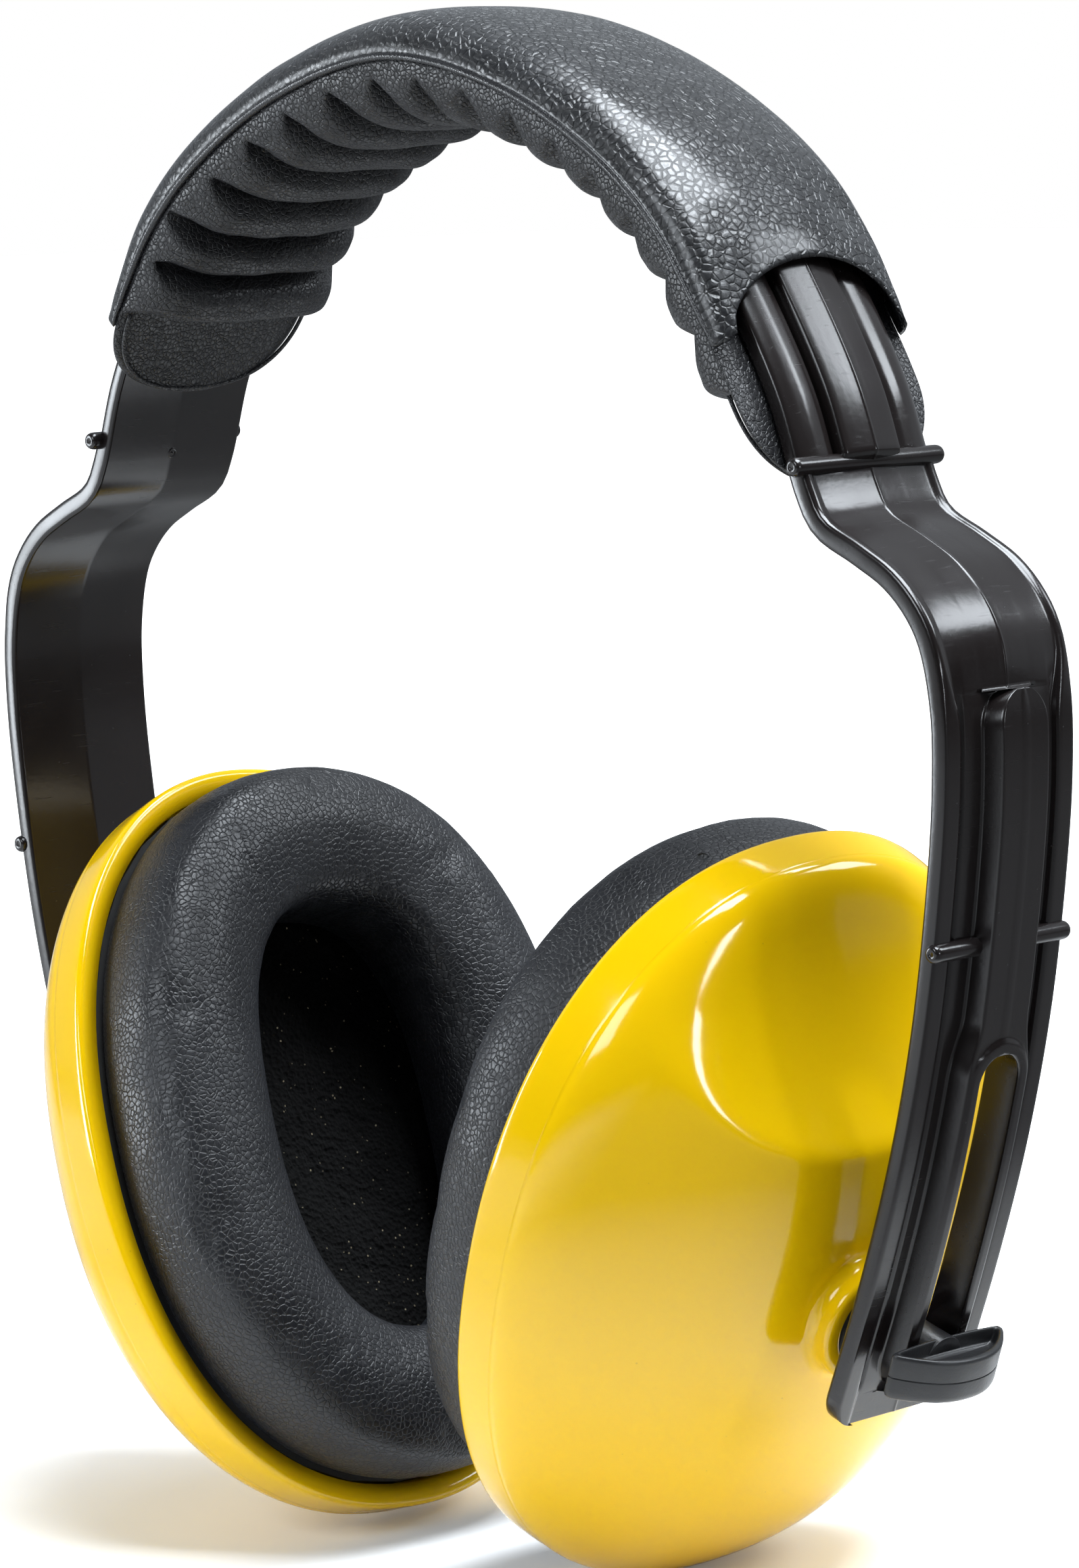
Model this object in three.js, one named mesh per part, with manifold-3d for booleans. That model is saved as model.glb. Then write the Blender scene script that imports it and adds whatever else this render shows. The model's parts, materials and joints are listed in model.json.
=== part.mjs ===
// An over-the-head earmuff hearing protector, in millimetres, +Z up.
// X runs from ear to ear with the left ear at +X, and the wearer faces -Y.
// It stands on its cups: the origin is on the ground plane, under the middle of the whole
// object. Pieces are drawn about the point midway between the two ball joints.
import * as THREE from "three";
import { mergeVertices } from "three/addons/utils/BufferGeometryUtils.js";
import Module from "manifold-3d";

const wasm = await Module();
wasm.setup();

// ------------------------------------------------------------ driving dimensions
const GAP = 0.35;                 // clearance between neighbouring pieces
const PIVOT_X = 65;               // ball joint centre, out from the middle plane

// The headband strap's outer face, right half, from the crown to the arm end, as (x, z).
const BAND_OUTLINE = [
  [0, 167.2], [22.2, 162.5], [40.4, 152.9], [50.7, 143.8], [58.3, 132.9], [65.3, 120.3],
  [69.6, 108.4], [71.7, 104.9], [77.8, 101.7], [83, 98.8], [86.9, 95.1], [89.6, 90.6],
  [91.5, 82], [91.6, 72], [90.5, 60], [87.6, 41.3], [83.4, 23.8], [77.9, 6.8], [70.5, -12.5],
];
const STRAP_HALF_WIDTH = 12.5;
const STRAP_THICKNESS = 2.6;
// Places along the strap, as distances from the crown.
const UPPER_BAR = 94.3;
const RIB_START = 132.5;
const MID_BAR = 165;
const SLOT_TOP = 179;
const SLOT_BOTTOM = 225.4;
// Mouldings on the strap's outer face.
const FLAT_DEPTH = 0.5;           // the flats lie this far below the edge beads
const GROOVE_DEPTH = 1.1;
const BEAD_WIDTH = 3.1;
const RIB_HALF_WIDTH = 4.4;
const RIB_HEIGHT = 2.6;
const RIB_FOOT = 0.6;
const UPPER_RIB_HALF_WIDTH = 5.4;
const UPPER_RIB_HEIGHT = 1.7;
const UPPER_LAND_HEIGHT = 0.3;
const SLOT_HALF_WIDTH = 3.8;
const SLOT_RIM = 2;
const BAR_RADIUS = 1.25;
const UPPER_BAR_LENGTH = 28.4;
const MID_BAR_LENGTH = 26.2;
const ARM_CORNER_RADIUS = 4;

// Headband cover and pad. Both sit a little nearer the left arm than the crown.
const COVER_SHIFT = 1;
const COVER_TIP = 75;             // the cover's end points, at its edges, from its middle
const COVER_ARCH = 66;            // the middle of the cover's hollow end, from its middle
const COVER_HALF_WIDTH = 18.1;
const COVER_SKIN = 1.2;
const COVER_CROWN = 2.3;          // how much the cover bulges in the middle
const PAD_SHIFT = 5.5;
const PAD_END = 77;               // where the ribbed part stops and its tongues start
const PAD_HALF_WIDTH = 17.6;
const PAD_DEPTH = 8.5;
const PAD_SKIN = 1.2;
const PAD_RIBS = 16;
const PAD_RIPPLE = 1.4;
const PAD_TOP = -STRAP_THICKNESS - GAP;
const CORE_END = 66;
const TONGUE_END = 91;
const TONGUE_THICKNESS = 1.5;
const TONGUE_POWER = 2.4;

// Cup: half axes front to back and up and down, and depths out from the flange plane.
const CUP_A = 43;
const CUP_B = 55;
const OVAL_POWER = 2.2;
const OVAL_STEPS = 32;
const CUP_WALL_HEIGHT = 7;
const CUP_DRAFT = 0.6;            // how much the wall leans in
const CUP_DEPTH = 30.5;
const DOME_POWER = 0.67;          // 0.5 is a half ellipsoid, 1 a paraboloid
const CUP_SKIN = 2.5;
const LIP_WIDTH = 3.4;
const SEAT_DEPTH = 3.2;           // how deep the cushion's plate is let in behind the lip
const SEAT_WIDTH = 1.7;
const DISH = { x: 62.3, z: 64.5, radius: 53.8, radiusY: 160 };   // ellipsoid that hollows the dome
const DISH_BLEND = 3;
const BALL_BELOW_CENTRE = 0.7;

// Ball joint, with distances along its axis from the ball's centre.
const BALL_RADIUS = 5;
const RING_INNER = 5.35;
const RING_OUTER = 6.85;
const RING_HALF_LENGTH = 2.6;
const SOCKET_RADIUS = 7.2;
const BOSS_RADIUS = 8.75;
const BOSS_TOP = 3.2;
const BOSS_BACK = -8;
const HUB_NECK_RADIUS = 3.2;
const HUB_COLLAR_RADIUS = 5.2;
const HUB_COLLAR_BACK = 4.7;
const HUB_TOP = 6.3;
const HUB_BORE = 2;
const HUB_BORE_END = -3.4;
const STUD_RADIUS = 1.65;
const STUD_END = -3;
const KNOB_BACK = 13.3;
const KNOB_BULGE = 6.5;
const KNOB_HALF_LENGTH = 10.5;
const KNOB_HEIGHT = 6.2;
const KNOB_END_THICKNESS = 1.5;

// Cushion.
const CUSHION_DEPTH = 15.5;
const CUSHION_SKIN = 1;
const CUSHION_CORNER = 4;
const CUSHION_SEAM = 0.8;         // where the cushion's skin meets its plate
const HOLE_A = 19.3;
const HOLE_B = 31.5;
const PLATE_FRONT = 1.2;
const PLATE_BACK = 2.8;
const FOAM_FRONT = 6;             // face of the sound-absorbing foam, out from the flange plane
const FOAM_INSET = LIP_WIDTH + 2.6;

// Resting angles in degrees: the stud follows the arm, the cups hang on their ball joints.
const STUD_TILT = 18;
const LEFT_CUP = { tilt: 21.3, swing: -4.7, turn: -5 };
const RIGHT_CUP = { tilt: 22.5, swing: 6.7, turn: 0 };

// ------------------------------------------------------------ geometry helpers
const radians = THREE.MathUtils.degToRad;
const ramp = THREE.MathUtils.smoothstep;

function signedVolume(positions, index) {
  const [a, b, c] = [new THREE.Vector3(), new THREE.Vector3(), new THREE.Vector3()];
  let volume = 0;
  for (let i = 0; i < index.length; i += 3) {
    a.fromArray(positions, 3 * index[i]);
    b.fromArray(positions, 3 * index[i + 1]);
    c.fromArray(positions, 3 * index[i + 2]);
    volume += a.dot(b.cross(c)) / 6;
  }
  return volume;
}

// A closed body through rings of equally many points. Its ends are closed by the triangles of
// the flat outline in cap, or by fans to the two points in poles, or else the last ring meets
// the first.
function ringBody(rings, { cap, poles } = {}) {
  const count = rings[0].length;
  const positions = rings.flat().flatMap((point) => point.toArray());
  const index = [];
  const open = Boolean(cap || poles);
  const last = (rings.length - 1) * count;
  for (let i = 0; i < rings.length - (open ? 1 : 0); i++) {
    const here = i * count;
    const next = ((i + 1) % rings.length) * count;
    for (let j = 0; j < count; j++) {
      const k = (j + 1) % count;
      index.push(here + j, here + k, next + k, here + j, next + k, next + j);
    }
  }
  if (cap) {
    for (const [a, b, c] of THREE.ShapeUtils.triangulateShape(cap, [])) {
      index.push(c, b, a, last + a, last + b, last + c);
    }
  }
  if (poles) {
    const first = positions.length / 3;
    positions.push(...poles[0].toArray(), ...poles[1].toArray());
    for (let j = 0; j < count; j++) {
      const k = (j + 1) % count;
      index.push(first, k, j);
      index.push(first + 1, last + j, last + k);
    }
  }
  if (signedVolume(positions, index) < 0) {
    index.reverse();
  }
  const geometry = new THREE.BufferGeometry();
  geometry.setAttribute("position", new THREE.Float32BufferAttribute(positions, 3));
  geometry.setIndex(index);
  return geometry;
}

function toSolid(geometry) {
  const bare = geometry.clone();
  bare.deleteAttribute("normal");
  bare.deleteAttribute("uv");
  const merged = mergeVertices(bare, 1e-4);
  return new wasm.Manifold(new wasm.Mesh({
    numProp: 3,
    vertProperties: new Float32Array(merged.getAttribute("position").array),
    triVerts: new Uint32Array(merged.getIndex().array),
  }));
}

function fromSolid(solid) {
  const mesh = solid.getMesh();
  const geometry = new THREE.BufferGeometry();
  geometry.setAttribute("position", new THREE.BufferAttribute(mesh.vertProperties, 3));
  geometry.setIndex(new THREE.BufferAttribute(mesh.triVerts, 1));
  return geometry;
}

function join(geometries) {
  return fromSolid(geometries.map(toSolid).reduce((sum, solid) => sum.add(solid)));
}

function cut(geometry, tools) {
  return fromSolid(tools.map(toSolid).reduce((rest, tool) => rest.subtract(tool), toSolid(geometry)));
}

// Turns a profile of (radius, distance) about the local X axis, distance along +X.
function turned(profile, segments = 18) {
  const points = profile.map(([radius, along]) => new THREE.Vector2(radius, along));
  return new THREE.LatheGeometry(points, segments).rotateZ(-Math.PI / 2);
}

function rod(radius, from, to, segments = 24) {
  return turned([[0, from], [radius, from], [radius, to], [0, to]], segments);
}

// ------------------------------------------------------------ headband path
const rightHalf = BAND_OUTLINE.map(([x, z]) => new THREE.Vector3(x, 0, z));
const leftHalf = rightHalf.slice(1).reverse().map((point) => new THREE.Vector3(-point.x, 0, point.z));
const bandCurve = new THREE.CatmullRomCurve3([...leftHalf, ...rightHalf], false, "centripetal");
bandCurve.arcLengthDivisions = 1500;
const BAND_END = bandCurve.getLength() / 2;

// A point at a distance along the strap from the crown, raised off its outer face, and across it.
function bandPoint(along, raised, across) {
  const u = THREE.MathUtils.clamp(0.5 + (0.5 * along) / BAND_END, 0, 1);
  const point = bandCurve.getPointAt(u);
  const tangent = bandCurve.getTangentAt(u);
  return new THREE.Vector3(point.x - tangent.z * raised, across, point.z + tangent.x * raised);
}

function middle(points) {
  return points.reduce((sum, point) => sum.add(point), new THREE.Vector3()).divideScalar(points.length);
}

// Sweeps an outline of [raised, across] points along the strap, with fans over its two ends.
function bandSweep(stations, section) {
  const rings = stations.map((along) =>
    section(along).map(([raised, across]) => bandPoint(along, raised, across)));
  return ringBody(rings, { poles: [middle(rings[0]), middle(rings[rings.length - 1])] });
}

// Joins the points of the half where across is positive to their mirror images.
function mirrored(half) {
  return [...half, ...half.map(([raised, across]) => [raised, -across]).reverse()];
}

function bothWays(distances) {
  return [...distances.map((d) => -d).reverse(), ...distances.filter((d) => d > 0)];
}

function steps(from, to, size) {
  const count = Math.max(1, Math.round((to - from) / size));
  return Array.from({ length: count }, (_, i) => from + ((to - from) * i) / count);
}

// ------------------------------------------------------------ headband
function strapSection(along) {
  const s = Math.abs(along);
  const toEnd = BAND_END - s;
  const corner = Math.max(0, ARM_CORNER_RADIUS - toEnd);
  const w = STRAP_HALF_WIDTH - ARM_CORNER_RADIUS + Math.sqrt(Math.max(0, ARM_CORNER_RADIUS ** 2 - corner ** 2));
  const onUpper = ramp(s, 56, 60) * (1 - ramp(s, UPPER_BAR - 3, UPPER_BAR));
  const onLower = ramp(s, RIB_START, RIB_START + 5);
  const onRails = ramp(s, MID_BAR, MID_BAR + 2) * (1 - ramp(s, BAND_END - 4.5, BAND_END - 3));
  const onRim = ramp(s, SLOT_TOP - 6, SLOT_TOP - 1);
  const lowerRib = onLower * (1 - ramp(s, SLOT_BOTTOM + 1, SLOT_BOTTOM + 3));
  const flat = UPPER_LAND_HEIGHT * onUpper - FLAT_DEPTH * onLower * (1 - ramp(s, BAND_END - 4, BAND_END - 2));
  const ribTop = flat + lowerRib * (RIB_HEIGHT - flat) + onUpper * (UPPER_RIB_HEIGHT - flat);
  const bead = w - BEAD_WIDTH;
  const ribHalf = RIB_HALF_WIDTH + onUpper * (UPPER_RIB_HALF_WIDTH - RIB_HALF_WIDTH)
    + onRim * (SLOT_HALF_WIDTH + SLOT_RIM - RIB_HALF_WIDTH);
  const ribEdge = Math.min(ribHalf, bead - 2.2);
  const groove = flat - (GROOVE_DEPTH - FLAT_DEPTH) * onRails;
  return mirrored([
    [ribTop, ribEdge],
    [flat, ribEdge + RIB_FOOT],
    [flat, bead - 1],
    [groove, bead - 0.5],
    [0, bead],
    [0, w],
    [-STRAP_THICKNESS, w],
  ]);
}

function crossbar(along, length) {
  const sunk = 0.2;
  const bar = new THREE.CylinderGeometry(BAR_RADIUS, BAR_RADIUS, length, 12);
  const place = bandPoint(along, -sunk, 0);
  return bar.translate(place.x, 0, place.z);
}

// A stadium-shaped block through the arm: the space that the slider's neck travels in.
function slotBlock(side) {
  const top = bandPoint(side * SLOT_TOP, 0, 0);
  const bottom = bandPoint(side * SLOT_BOTTOM, 0, 0);
  const length = top.distanceTo(bottom) - 2 * SLOT_HALF_WIDTH;
  const stadium = new THREE.Shape();
  stadium.absarc(length / 2, 0, SLOT_HALF_WIDTH, -Math.PI / 2, Math.PI / 2, false);
  stadium.absarc(-length / 2, 0, SLOT_HALF_WIDTH, Math.PI / 2, (3 * Math.PI) / 2, false);
  const depth = 20;
  const block = new THREE.ExtrudeGeometry(stadium, { depth, bevelEnabled: false, curveSegments: 10 });
  block.translate(0, 0, -depth / 2);
  const up = top.clone().sub(bottom).normalize();
  const across = new THREE.Vector3(0, side, 0);
  const out = new THREE.Vector3().crossVectors(up, across);
  const middle = top.clone().add(bottom).multiplyScalar(0.5);
  block.applyMatrix4(new THREE.Matrix4().makeBasis(up, across, out).setPosition(middle));
  return block;
}

function headband() {
  const stations = bothWays([
    0, ...steps(9, 54, 9), 54, ...steps(56, UPPER_BAR, 5), ...steps(UPPER_BAR, RIB_START, 3.2),
    ...steps(RIB_START, RIB_START + 6, 2), ...steps(RIB_START + 6, MID_BAR, 6), MID_BAR,
    ...steps(MID_BAR + 2, SLOT_TOP - 6, 4), ...steps(SLOT_TOP - 6, SLOT_TOP, 1.5),
    ...steps(SLOT_TOP, SLOT_BOTTOM + 1, 5), ...steps(SLOT_BOTTOM + 1, BAND_END, 1), BAND_END,
  ]);
  const strap = bandSweep(stations, strapSection);
  const bars = [-1, 1].flatMap((side) => [
    crossbar(side * UPPER_BAR, UPPER_BAR_LENGTH),
    crossbar(side * MID_BAR, MID_BAR_LENGTH),
  ]);
  return cut(join([strap, ...bars]), [slotBlock(-1), slotBlock(1)]);
}

// ------------------------------------------------------------ headband cover and pad
// How far the cover reaches along the strap at a place across it: a hollow arch between two tips.
function coverReach(across) {
  const t = Math.min(1, Math.abs(across) / (COVER_HALF_WIDTH - 2));
  return COVER_TIP - (COVER_TIP - COVER_ARCH) * Math.sqrt(1 - t ** 2);
}

function headbandCover() {
  const half = [];
  const columns = 5;
  for (let i = 1; i <= columns; i++) {
    const t = (i - 0.5) / columns;
    half.push([GAP + COVER_SKIN + COVER_CROWN * (1 - t ** 2), COVER_HALF_WIDTH * t * 0.98]);
  }
  half.push([-0.6, COVER_HALF_WIDTH], [-STRAP_THICKNESS, COVER_HALF_WIDTH]);
  half.push([-STRAP_THICKNESS, COVER_HALF_WIDTH - COVER_SKIN], [GAP, COVER_HALF_WIDTH - COVER_SKIN - 1]);
  for (let i = columns - 1; i >= 1; i--) {
    const t = (i - 0.5) / columns;
    half.push([GAP + (COVER_CROWN - 0.2) * (1 - t ** 2), COVER_HALF_WIDTH * t * 0.98]);
  }
  const outer = half.slice(0, columns + 2);
  const inner = half.slice(columns + 2);
  const mirror = (points) => points.map(([raised, across]) => [raised, -across]).reverse();
  const outline = [...mirror(outer), ...outer, ...inner, ...mirror(inner)];
  const parts = bothWays([0, ...steps(1 / 12, 1, 1 / 12), 1]);
  const rings = parts.map((t) => outline.map(([raised, across]) =>
    bandPoint(COVER_SHIFT + t * coverReach(across), raised, across)));
  return ringBody(rings, { cap: outline.map(([raised, across]) => new THREE.Vector2(raised, across)) });
}

// Sweeps the half section at each distance from the pad's middle, out to both ends.
function padSweep(distances, half) {
  const stations = bothWays(distances).map((distance) => distance + PAD_SHIFT);
  return bandSweep(stations, (along) => mirrored(half(Math.abs(along - PAD_SHIFT))));
}

function padHalfWidth(s) {
  const t = THREE.MathUtils.clamp((s - PAD_END) / (TONGUE_END - PAD_END), 0, 1);
  return PAD_HALF_WIDTH * (1 - 0.97 * t ** TONGUE_POWER) ** (1 / TONGUE_POWER);
}

// Depth of the pad below the strap's inner face, with its ribs.
function padDepth(s) {
  const ribs = (PAD_RIBS * (s + PAD_END)) / (2 * PAD_END);
  const body = PAD_DEPTH - PAD_RIPPLE * (1 - Math.abs(Math.sin(Math.PI * ribs)));
  return TONGUE_THICKNESS + (body - TONGUE_THICKNESS) * (1 - ramp(s, PAD_END - 4, PAD_END));
}

function headbandPad() {
  const distances = [
    0, ...steps(2.4, PAD_END - 4, 2.4), ...steps(PAD_END - 4, TONGUE_END, 1.5), TONGUE_END,
  ];
  return padSweep(distances, (s) => {
    const w = padHalfWidth(s);
    const depth = padDepth(s);
    const trough = Math.max(0, depth - PAD_SKIN) * (1 - ramp(s, PAD_END - 9, PAD_END - 5));
    return [
      [PAD_TOP - trough, w * 0.66],
      [PAD_TOP, w * 0.9],
      [PAD_TOP, w],
      [PAD_TOP - depth * 0.5, w],
      [PAD_TOP - depth, w * 0.78],
    ];
  });
}

function padCore() {
  const depth = PAD_DEPTH - PAD_RIPPLE - PAD_SKIN - GAP - 0.2;
  const w = PAD_HALF_WIDTH - PAD_SKIN - 1.4;
  return padSweep([0, ...steps(6, CORE_END, 6), CORE_END], () => [
    [PAD_TOP - 0.1, w - 0.6],
    [PAD_TOP - depth, w * 0.62],
  ]);
}

// ------------------------------------------------------------ cup pieces
// Cup pieces are drawn about the middle of the flange plane, +X out from the head, Z up.
function ovalRing(a, b, x) {
  const power = 2 / OVAL_POWER;
  return Array.from({ length: OVAL_STEPS }, (_, i) => {
    const angle = (2 * Math.PI * i) / OVAL_STEPS;
    const [c, s] = [Math.cos(angle), Math.sin(angle)];
    const y = a * Math.sign(c) * Math.abs(c) ** power;
    const z = b * Math.sign(s) * Math.abs(s) ** power;
    return new THREE.Vector3(typeof x === "function" ? x(y, z) : x, y, z);
  });
}

// The dome's outer height over the flange plane, hollowed by the dish above the boss.
function domeHeight(y, z) {
  const r = (Math.abs(y) / (CUP_A - CUP_DRAFT)) ** OVAL_POWER
    + (Math.abs(z) / (CUP_B - CUP_DRAFT)) ** OVAL_POWER;
  const dome = CUP_WALL_HEIGHT + (CUP_DEPTH - CUP_WALL_HEIGHT) * Math.max(0, 1 - r) ** DOME_POWER;
  const inside = 1 - (y / DISH.radiusY) ** 2 - ((z - DISH.z) / DISH.radius) ** 2;
  if (inside <= 0) {
    return dome;
  }
  const dish = DISH.x - DISH.radius * Math.sqrt(inside);
  const h = THREE.MathUtils.clamp(0.5 + (0.5 * (dish - dome)) / DISH_BLEND, 0, 1);
  return dish * (1 - h) + dome * h - DISH_BLEND * h * (1 - h);
}

const DOME_RINGS = [0.985, 0.95, 0.88, 0.78, 0.66, 0.52, 0.38, 0.22];

// The dome's height at a point of a smaller oval, taken where the full-size oval has it.
function heightOver(inset) {
  return (y, z) => domeHeight((y * CUP_A) / (CUP_A - inset), (z * CUP_B) / (CUP_B - inset));
}

function domeRings(inset, drop) {
  const height = heightOver(inset);
  return DOME_RINGS.map((t) =>
    ovalRing((CUP_A - inset) * t, (CUP_B - inset) * t, (y, z) => height(y, z) - drop));
}

function cupShell() {
  const outer = [ovalRing(CUP_A, CUP_B, 0), ovalRing(CUP_A, CUP_B, 1.5), ...domeRings(CUP_DRAFT, 0)];
  const seat = LIP_WIDTH + SEAT_WIDTH;
  const inner = [
    ovalRing(CUP_A - LIP_WIDTH, CUP_B - LIP_WIDTH, 0),
    ovalRing(CUP_A - LIP_WIDTH, CUP_B - LIP_WIDTH, SEAT_DEPTH),
    ovalRing(CUP_A - seat + 0.1, CUP_B - seat + 0.1, SEAT_DEPTH + 0.2),
    ...domeRings(seat, CUP_SKIN),
  ];
  const poles = [domeHeight(0, 0) - CUP_SKIN, domeHeight(0, 0)].map((x) => new THREE.Vector3(x, 0, 0));
  const shell = ringBody([...inner.reverse(), ...outer], { poles });
  const place = (geometry) => geometry.translate(CUP_DEPTH, 0, -BALL_BELOW_CENTRE);
  const boss = place(rod(BOSS_RADIUS, BOSS_BACK, BOSS_TOP, 32));
  const bore = place(rod(SOCKET_RADIUS, BOSS_BACK - 2, 0, 32));
  const socket = place(new THREE.SphereGeometry(SOCKET_RADIUS, 32, 16).rotateZ(-Math.PI / 2));
  return cut(join([shell, boss]), [bore, socket]);
}

// Rings of a cushion layer's outer side: the wall, the corner, and the face at its inner end.
function cushionSide(a, b, face, direction) {
  const corner = CUSHION_CORNER * direction;
  return [
    ovalRing(a, b, CUSHION_SEAM),
    ovalRing(a, b, face + CUSHION_CORNER),
    ovalRing(a + corner, b + corner, face),
  ];
}

// One layer of the cushion between its outer oval and the hole, shrunk by an inset.
function cushionLayer(inset) {
  const outer = LIP_WIDTH + GAP + inset;
  const face = -CUSHION_DEPTH + inset;
  return [
    ...cushionSide(CUP_A - outer, CUP_B - outer, face, -1),
    ...cushionSide(HOLE_A + inset, HOLE_B + inset, face, 1).reverse(),
  ];
}

function cushionCover() {
  return ringBody([...cushionLayer(0), ...cushionLayer(CUSHION_SKIN).reverse()]);
}

function cushionFoam() {
  return ringBody(cushionLayer(CUSHION_SKIN + GAP));
}

function cushionPlate() {
  const outer = LIP_WIDTH + GAP;
  const hole = 3;
  return ringBody([
    ovalRing(CUP_A - outer, CUP_B - outer, PLATE_FRONT),
    ovalRing(CUP_A - outer, CUP_B - outer, PLATE_BACK),
    ovalRing(HOLE_A + hole, HOLE_B + hole, PLATE_BACK),
    ovalRing(HOLE_A + hole, HOLE_B + hole, PLATE_FRONT),
  ]);
}

function acousticFoam() {
  const backLimit = CUP_DEPTH + BOSS_BACK - 1;
  const height = heightOver(FOAM_INSET);
  const ring = (t, x) => ovalRing((CUP_A - FOAM_INSET) * t, (CUP_B - FOAM_INSET) * t, x);
  const back = [0.96, 0.86, 0.7, 0.5, 0.25].map((t) =>
    ring(t, (y, z) => Math.min(height(y, z) - CUP_SKIN - 2 * GAP, backLimit)));
  const front = [0.96, 0.7, 0.35].map((t) => ring(t, FOAM_FRONT - 2 * t));
  const poles = [new THREE.Vector3(FOAM_FRONT, 0, 0), new THREE.Vector3(backLimit, 0, 0)];
  return ringBody([...front.reverse(), ...back], { poles });
}

function socketCap() {
  return rod(SOCKET_RADIUS - GAP, BOSS_BACK + 0.3, BOSS_BACK + 2, 32);
}

// ------------------------------------------------------------ ball joint and slider
function arcProfile(radius, fromHeight, toHeight, count) {
  const start = Math.asin(fromHeight / radius);
  const end = Math.asin(toHeight / radius);
  return Array.from({ length: count + 1 }, (_, i) => {
    const angle = start + ((end - start) * i) / count;
    return [radius * Math.cos(angle), radius * Math.sin(angle)];
  });
}

function pivotHub() {
  const neckStart = Math.sqrt(BALL_RADIUS ** 2 - HUB_NECK_RADIUS ** 2);
  const ball = arcProfile(BALL_RADIUS, -BALL_RADIUS, neckStart, 10).slice(1);
  return turned([
    [0, -BALL_RADIUS], ...ball, [HUB_NECK_RADIUS, HUB_COLLAR_BACK], [HUB_COLLAR_RADIUS, HUB_COLLAR_BACK],
    [HUB_COLLAR_RADIUS, HUB_TOP], [HUB_BORE, HUB_TOP], [HUB_BORE, HUB_BORE_END], [0, HUB_BORE_END],
  ]);
}

function socketRing() {
  const outer = arcProfile(RING_OUTER, -RING_HALF_LENGTH, RING_HALF_LENGTH, 5);
  const inner = arcProfile(RING_INNER, RING_HALF_LENGTH, -RING_HALF_LENGTH, 5);
  return turned([...outer, ...inner, outer[0]]);
}

// T-shaped slider: a bowed thumb bar outside the arm, a neck in the slot and a stud for the hub.
function adjusterSlider() {
  const tip = KNOB_END_THICKNESS;
  const half = KNOB_HALF_LENGTH;
  const bow = KNOB_BULGE;
  const plan = new THREE.Shape();
  plan.moveTo(0, -half + tip);
  plan.quadraticCurveTo(0, -half, tip, -half);
  plan.bezierCurveTo(bow * 0.9, -half * 0.7, bow, -half * 0.3, bow, 0);
  plan.bezierCurveTo(bow, half * 0.3, bow * 0.9, half * 0.7, tip, half);
  plan.quadraticCurveTo(0, half, 0, half - tip);
  plan.closePath();
  const knob = new THREE.ExtrudeGeometry(plan, { depth: KNOB_HEIGHT, bevelEnabled: false, curveSegments: 6 });
  knob.translate(KNOB_BACK, 0, -KNOB_HEIGHT / 2);
  const neck = rod(SLOT_HALF_WIDTH - GAP, HUB_TOP + 0.4, KNOB_BACK + 1);
  const stud = rod(STUD_RADIUS, STUD_END, HUB_TOP + 1, 16);
  return join([knob, neck, stud]);
}

// ------------------------------------------------------------ assembly
const materials = {
  black_plastic: { color: 0x0d0d0e, roughness: 0.28, metalness: 0 },
  black_leatherette: { color: 0x141518, roughness: 0.5, metalness: 0 },
  yellow_plastic: { color: 0xe8b80c, roughness: 0.15, metalness: 0 },
  foam: { color: 0x0a0a0a, roughness: 0.95, metalness: 0 },
  nylon: { color: 0x1a1a1a, roughness: 0.45, metalness: 0 },
};

function part(name, geometry, material) {
  const mesh = new THREE.Mesh(geometry, new THREE.MeshStandardMaterial(materials[material]));
  mesh.name = name;
  return mesh;
}

function side(prefix, angles, swingSign) {
  const group = new THREE.Group();
  const arm = new THREE.Group();
  arm.rotation.y = radians(STUD_TILT);
  arm.add(part(`${prefix}_adjuster_slider`, adjusterSlider(), "black_plastic"));
  arm.add(part(`${prefix}_pivot_hub`, pivotHub(), "black_plastic"));
  const cup = new THREE.Group();
  cup.rotation.order = "ZYX";
  cup.rotation.set(radians(swingSign * angles.swing), radians(angles.tilt), radians(angles.turn));
  cup.add(part(`${prefix}_socket_ring`, socketRing(), "nylon"));
  cup.add(part(`${prefix}_socket_cap`, socketCap(), "nylon"));
  const aboutFlange = [
    part(`${prefix}_cup_shell`, cupShell(), "yellow_plastic"),
    part(`${prefix}_cushion_cover`, cushionCover(), "black_leatherette"),
    part(`${prefix}_cushion_foam`, cushionFoam(), "foam"),
    part(`${prefix}_cushion_plate`, cushionPlate(), "nylon"),
    part(`${prefix}_acoustic_foam`, acousticFoam(), "foam"),
  ];
  for (const mesh of aboutFlange) {
    mesh.position.set(-CUP_DEPTH, 0, BALL_BELOW_CENTRE);
    cup.add(mesh);
  }
  group.add(arm, cup);
  return group;
}

const earmuff = new THREE.Group();
earmuff.add(part("headband", headband(), "black_plastic"));
earmuff.add(part("headband_cover", headbandCover(), "black_leatherette"));
earmuff.add(part("headband_pad", headbandPad(), "black_leatherette"));
earmuff.add(part("pad_core", padCore(), "foam"));

const left = side("left", LEFT_CUP, -1);
left.position.x = PIVOT_X;
const right = side("right", RIGHT_CUP, 1);
right.position.x = -PIVOT_X;
right.rotation.z = Math.PI;
earmuff.add(left, right);

// The finished earmuff stands on the ground plane, centred over the origin.
const box = new THREE.Box3().setFromObject(earmuff, true);
const centre = box.getCenter(new THREE.Vector3());
earmuff.position.set(-centre.x, -centre.y, -box.min.z);

export default earmuff;
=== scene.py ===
"""An over-the-head earmuff hearing protector: its looks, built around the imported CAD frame.

Lengths are in millimetres in the row frame, unless a name says otherwise. X runs from ear to
ear with the left ear at +X, the wearer faces -Y, and +Z is up.
"""

import json
import math

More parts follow.
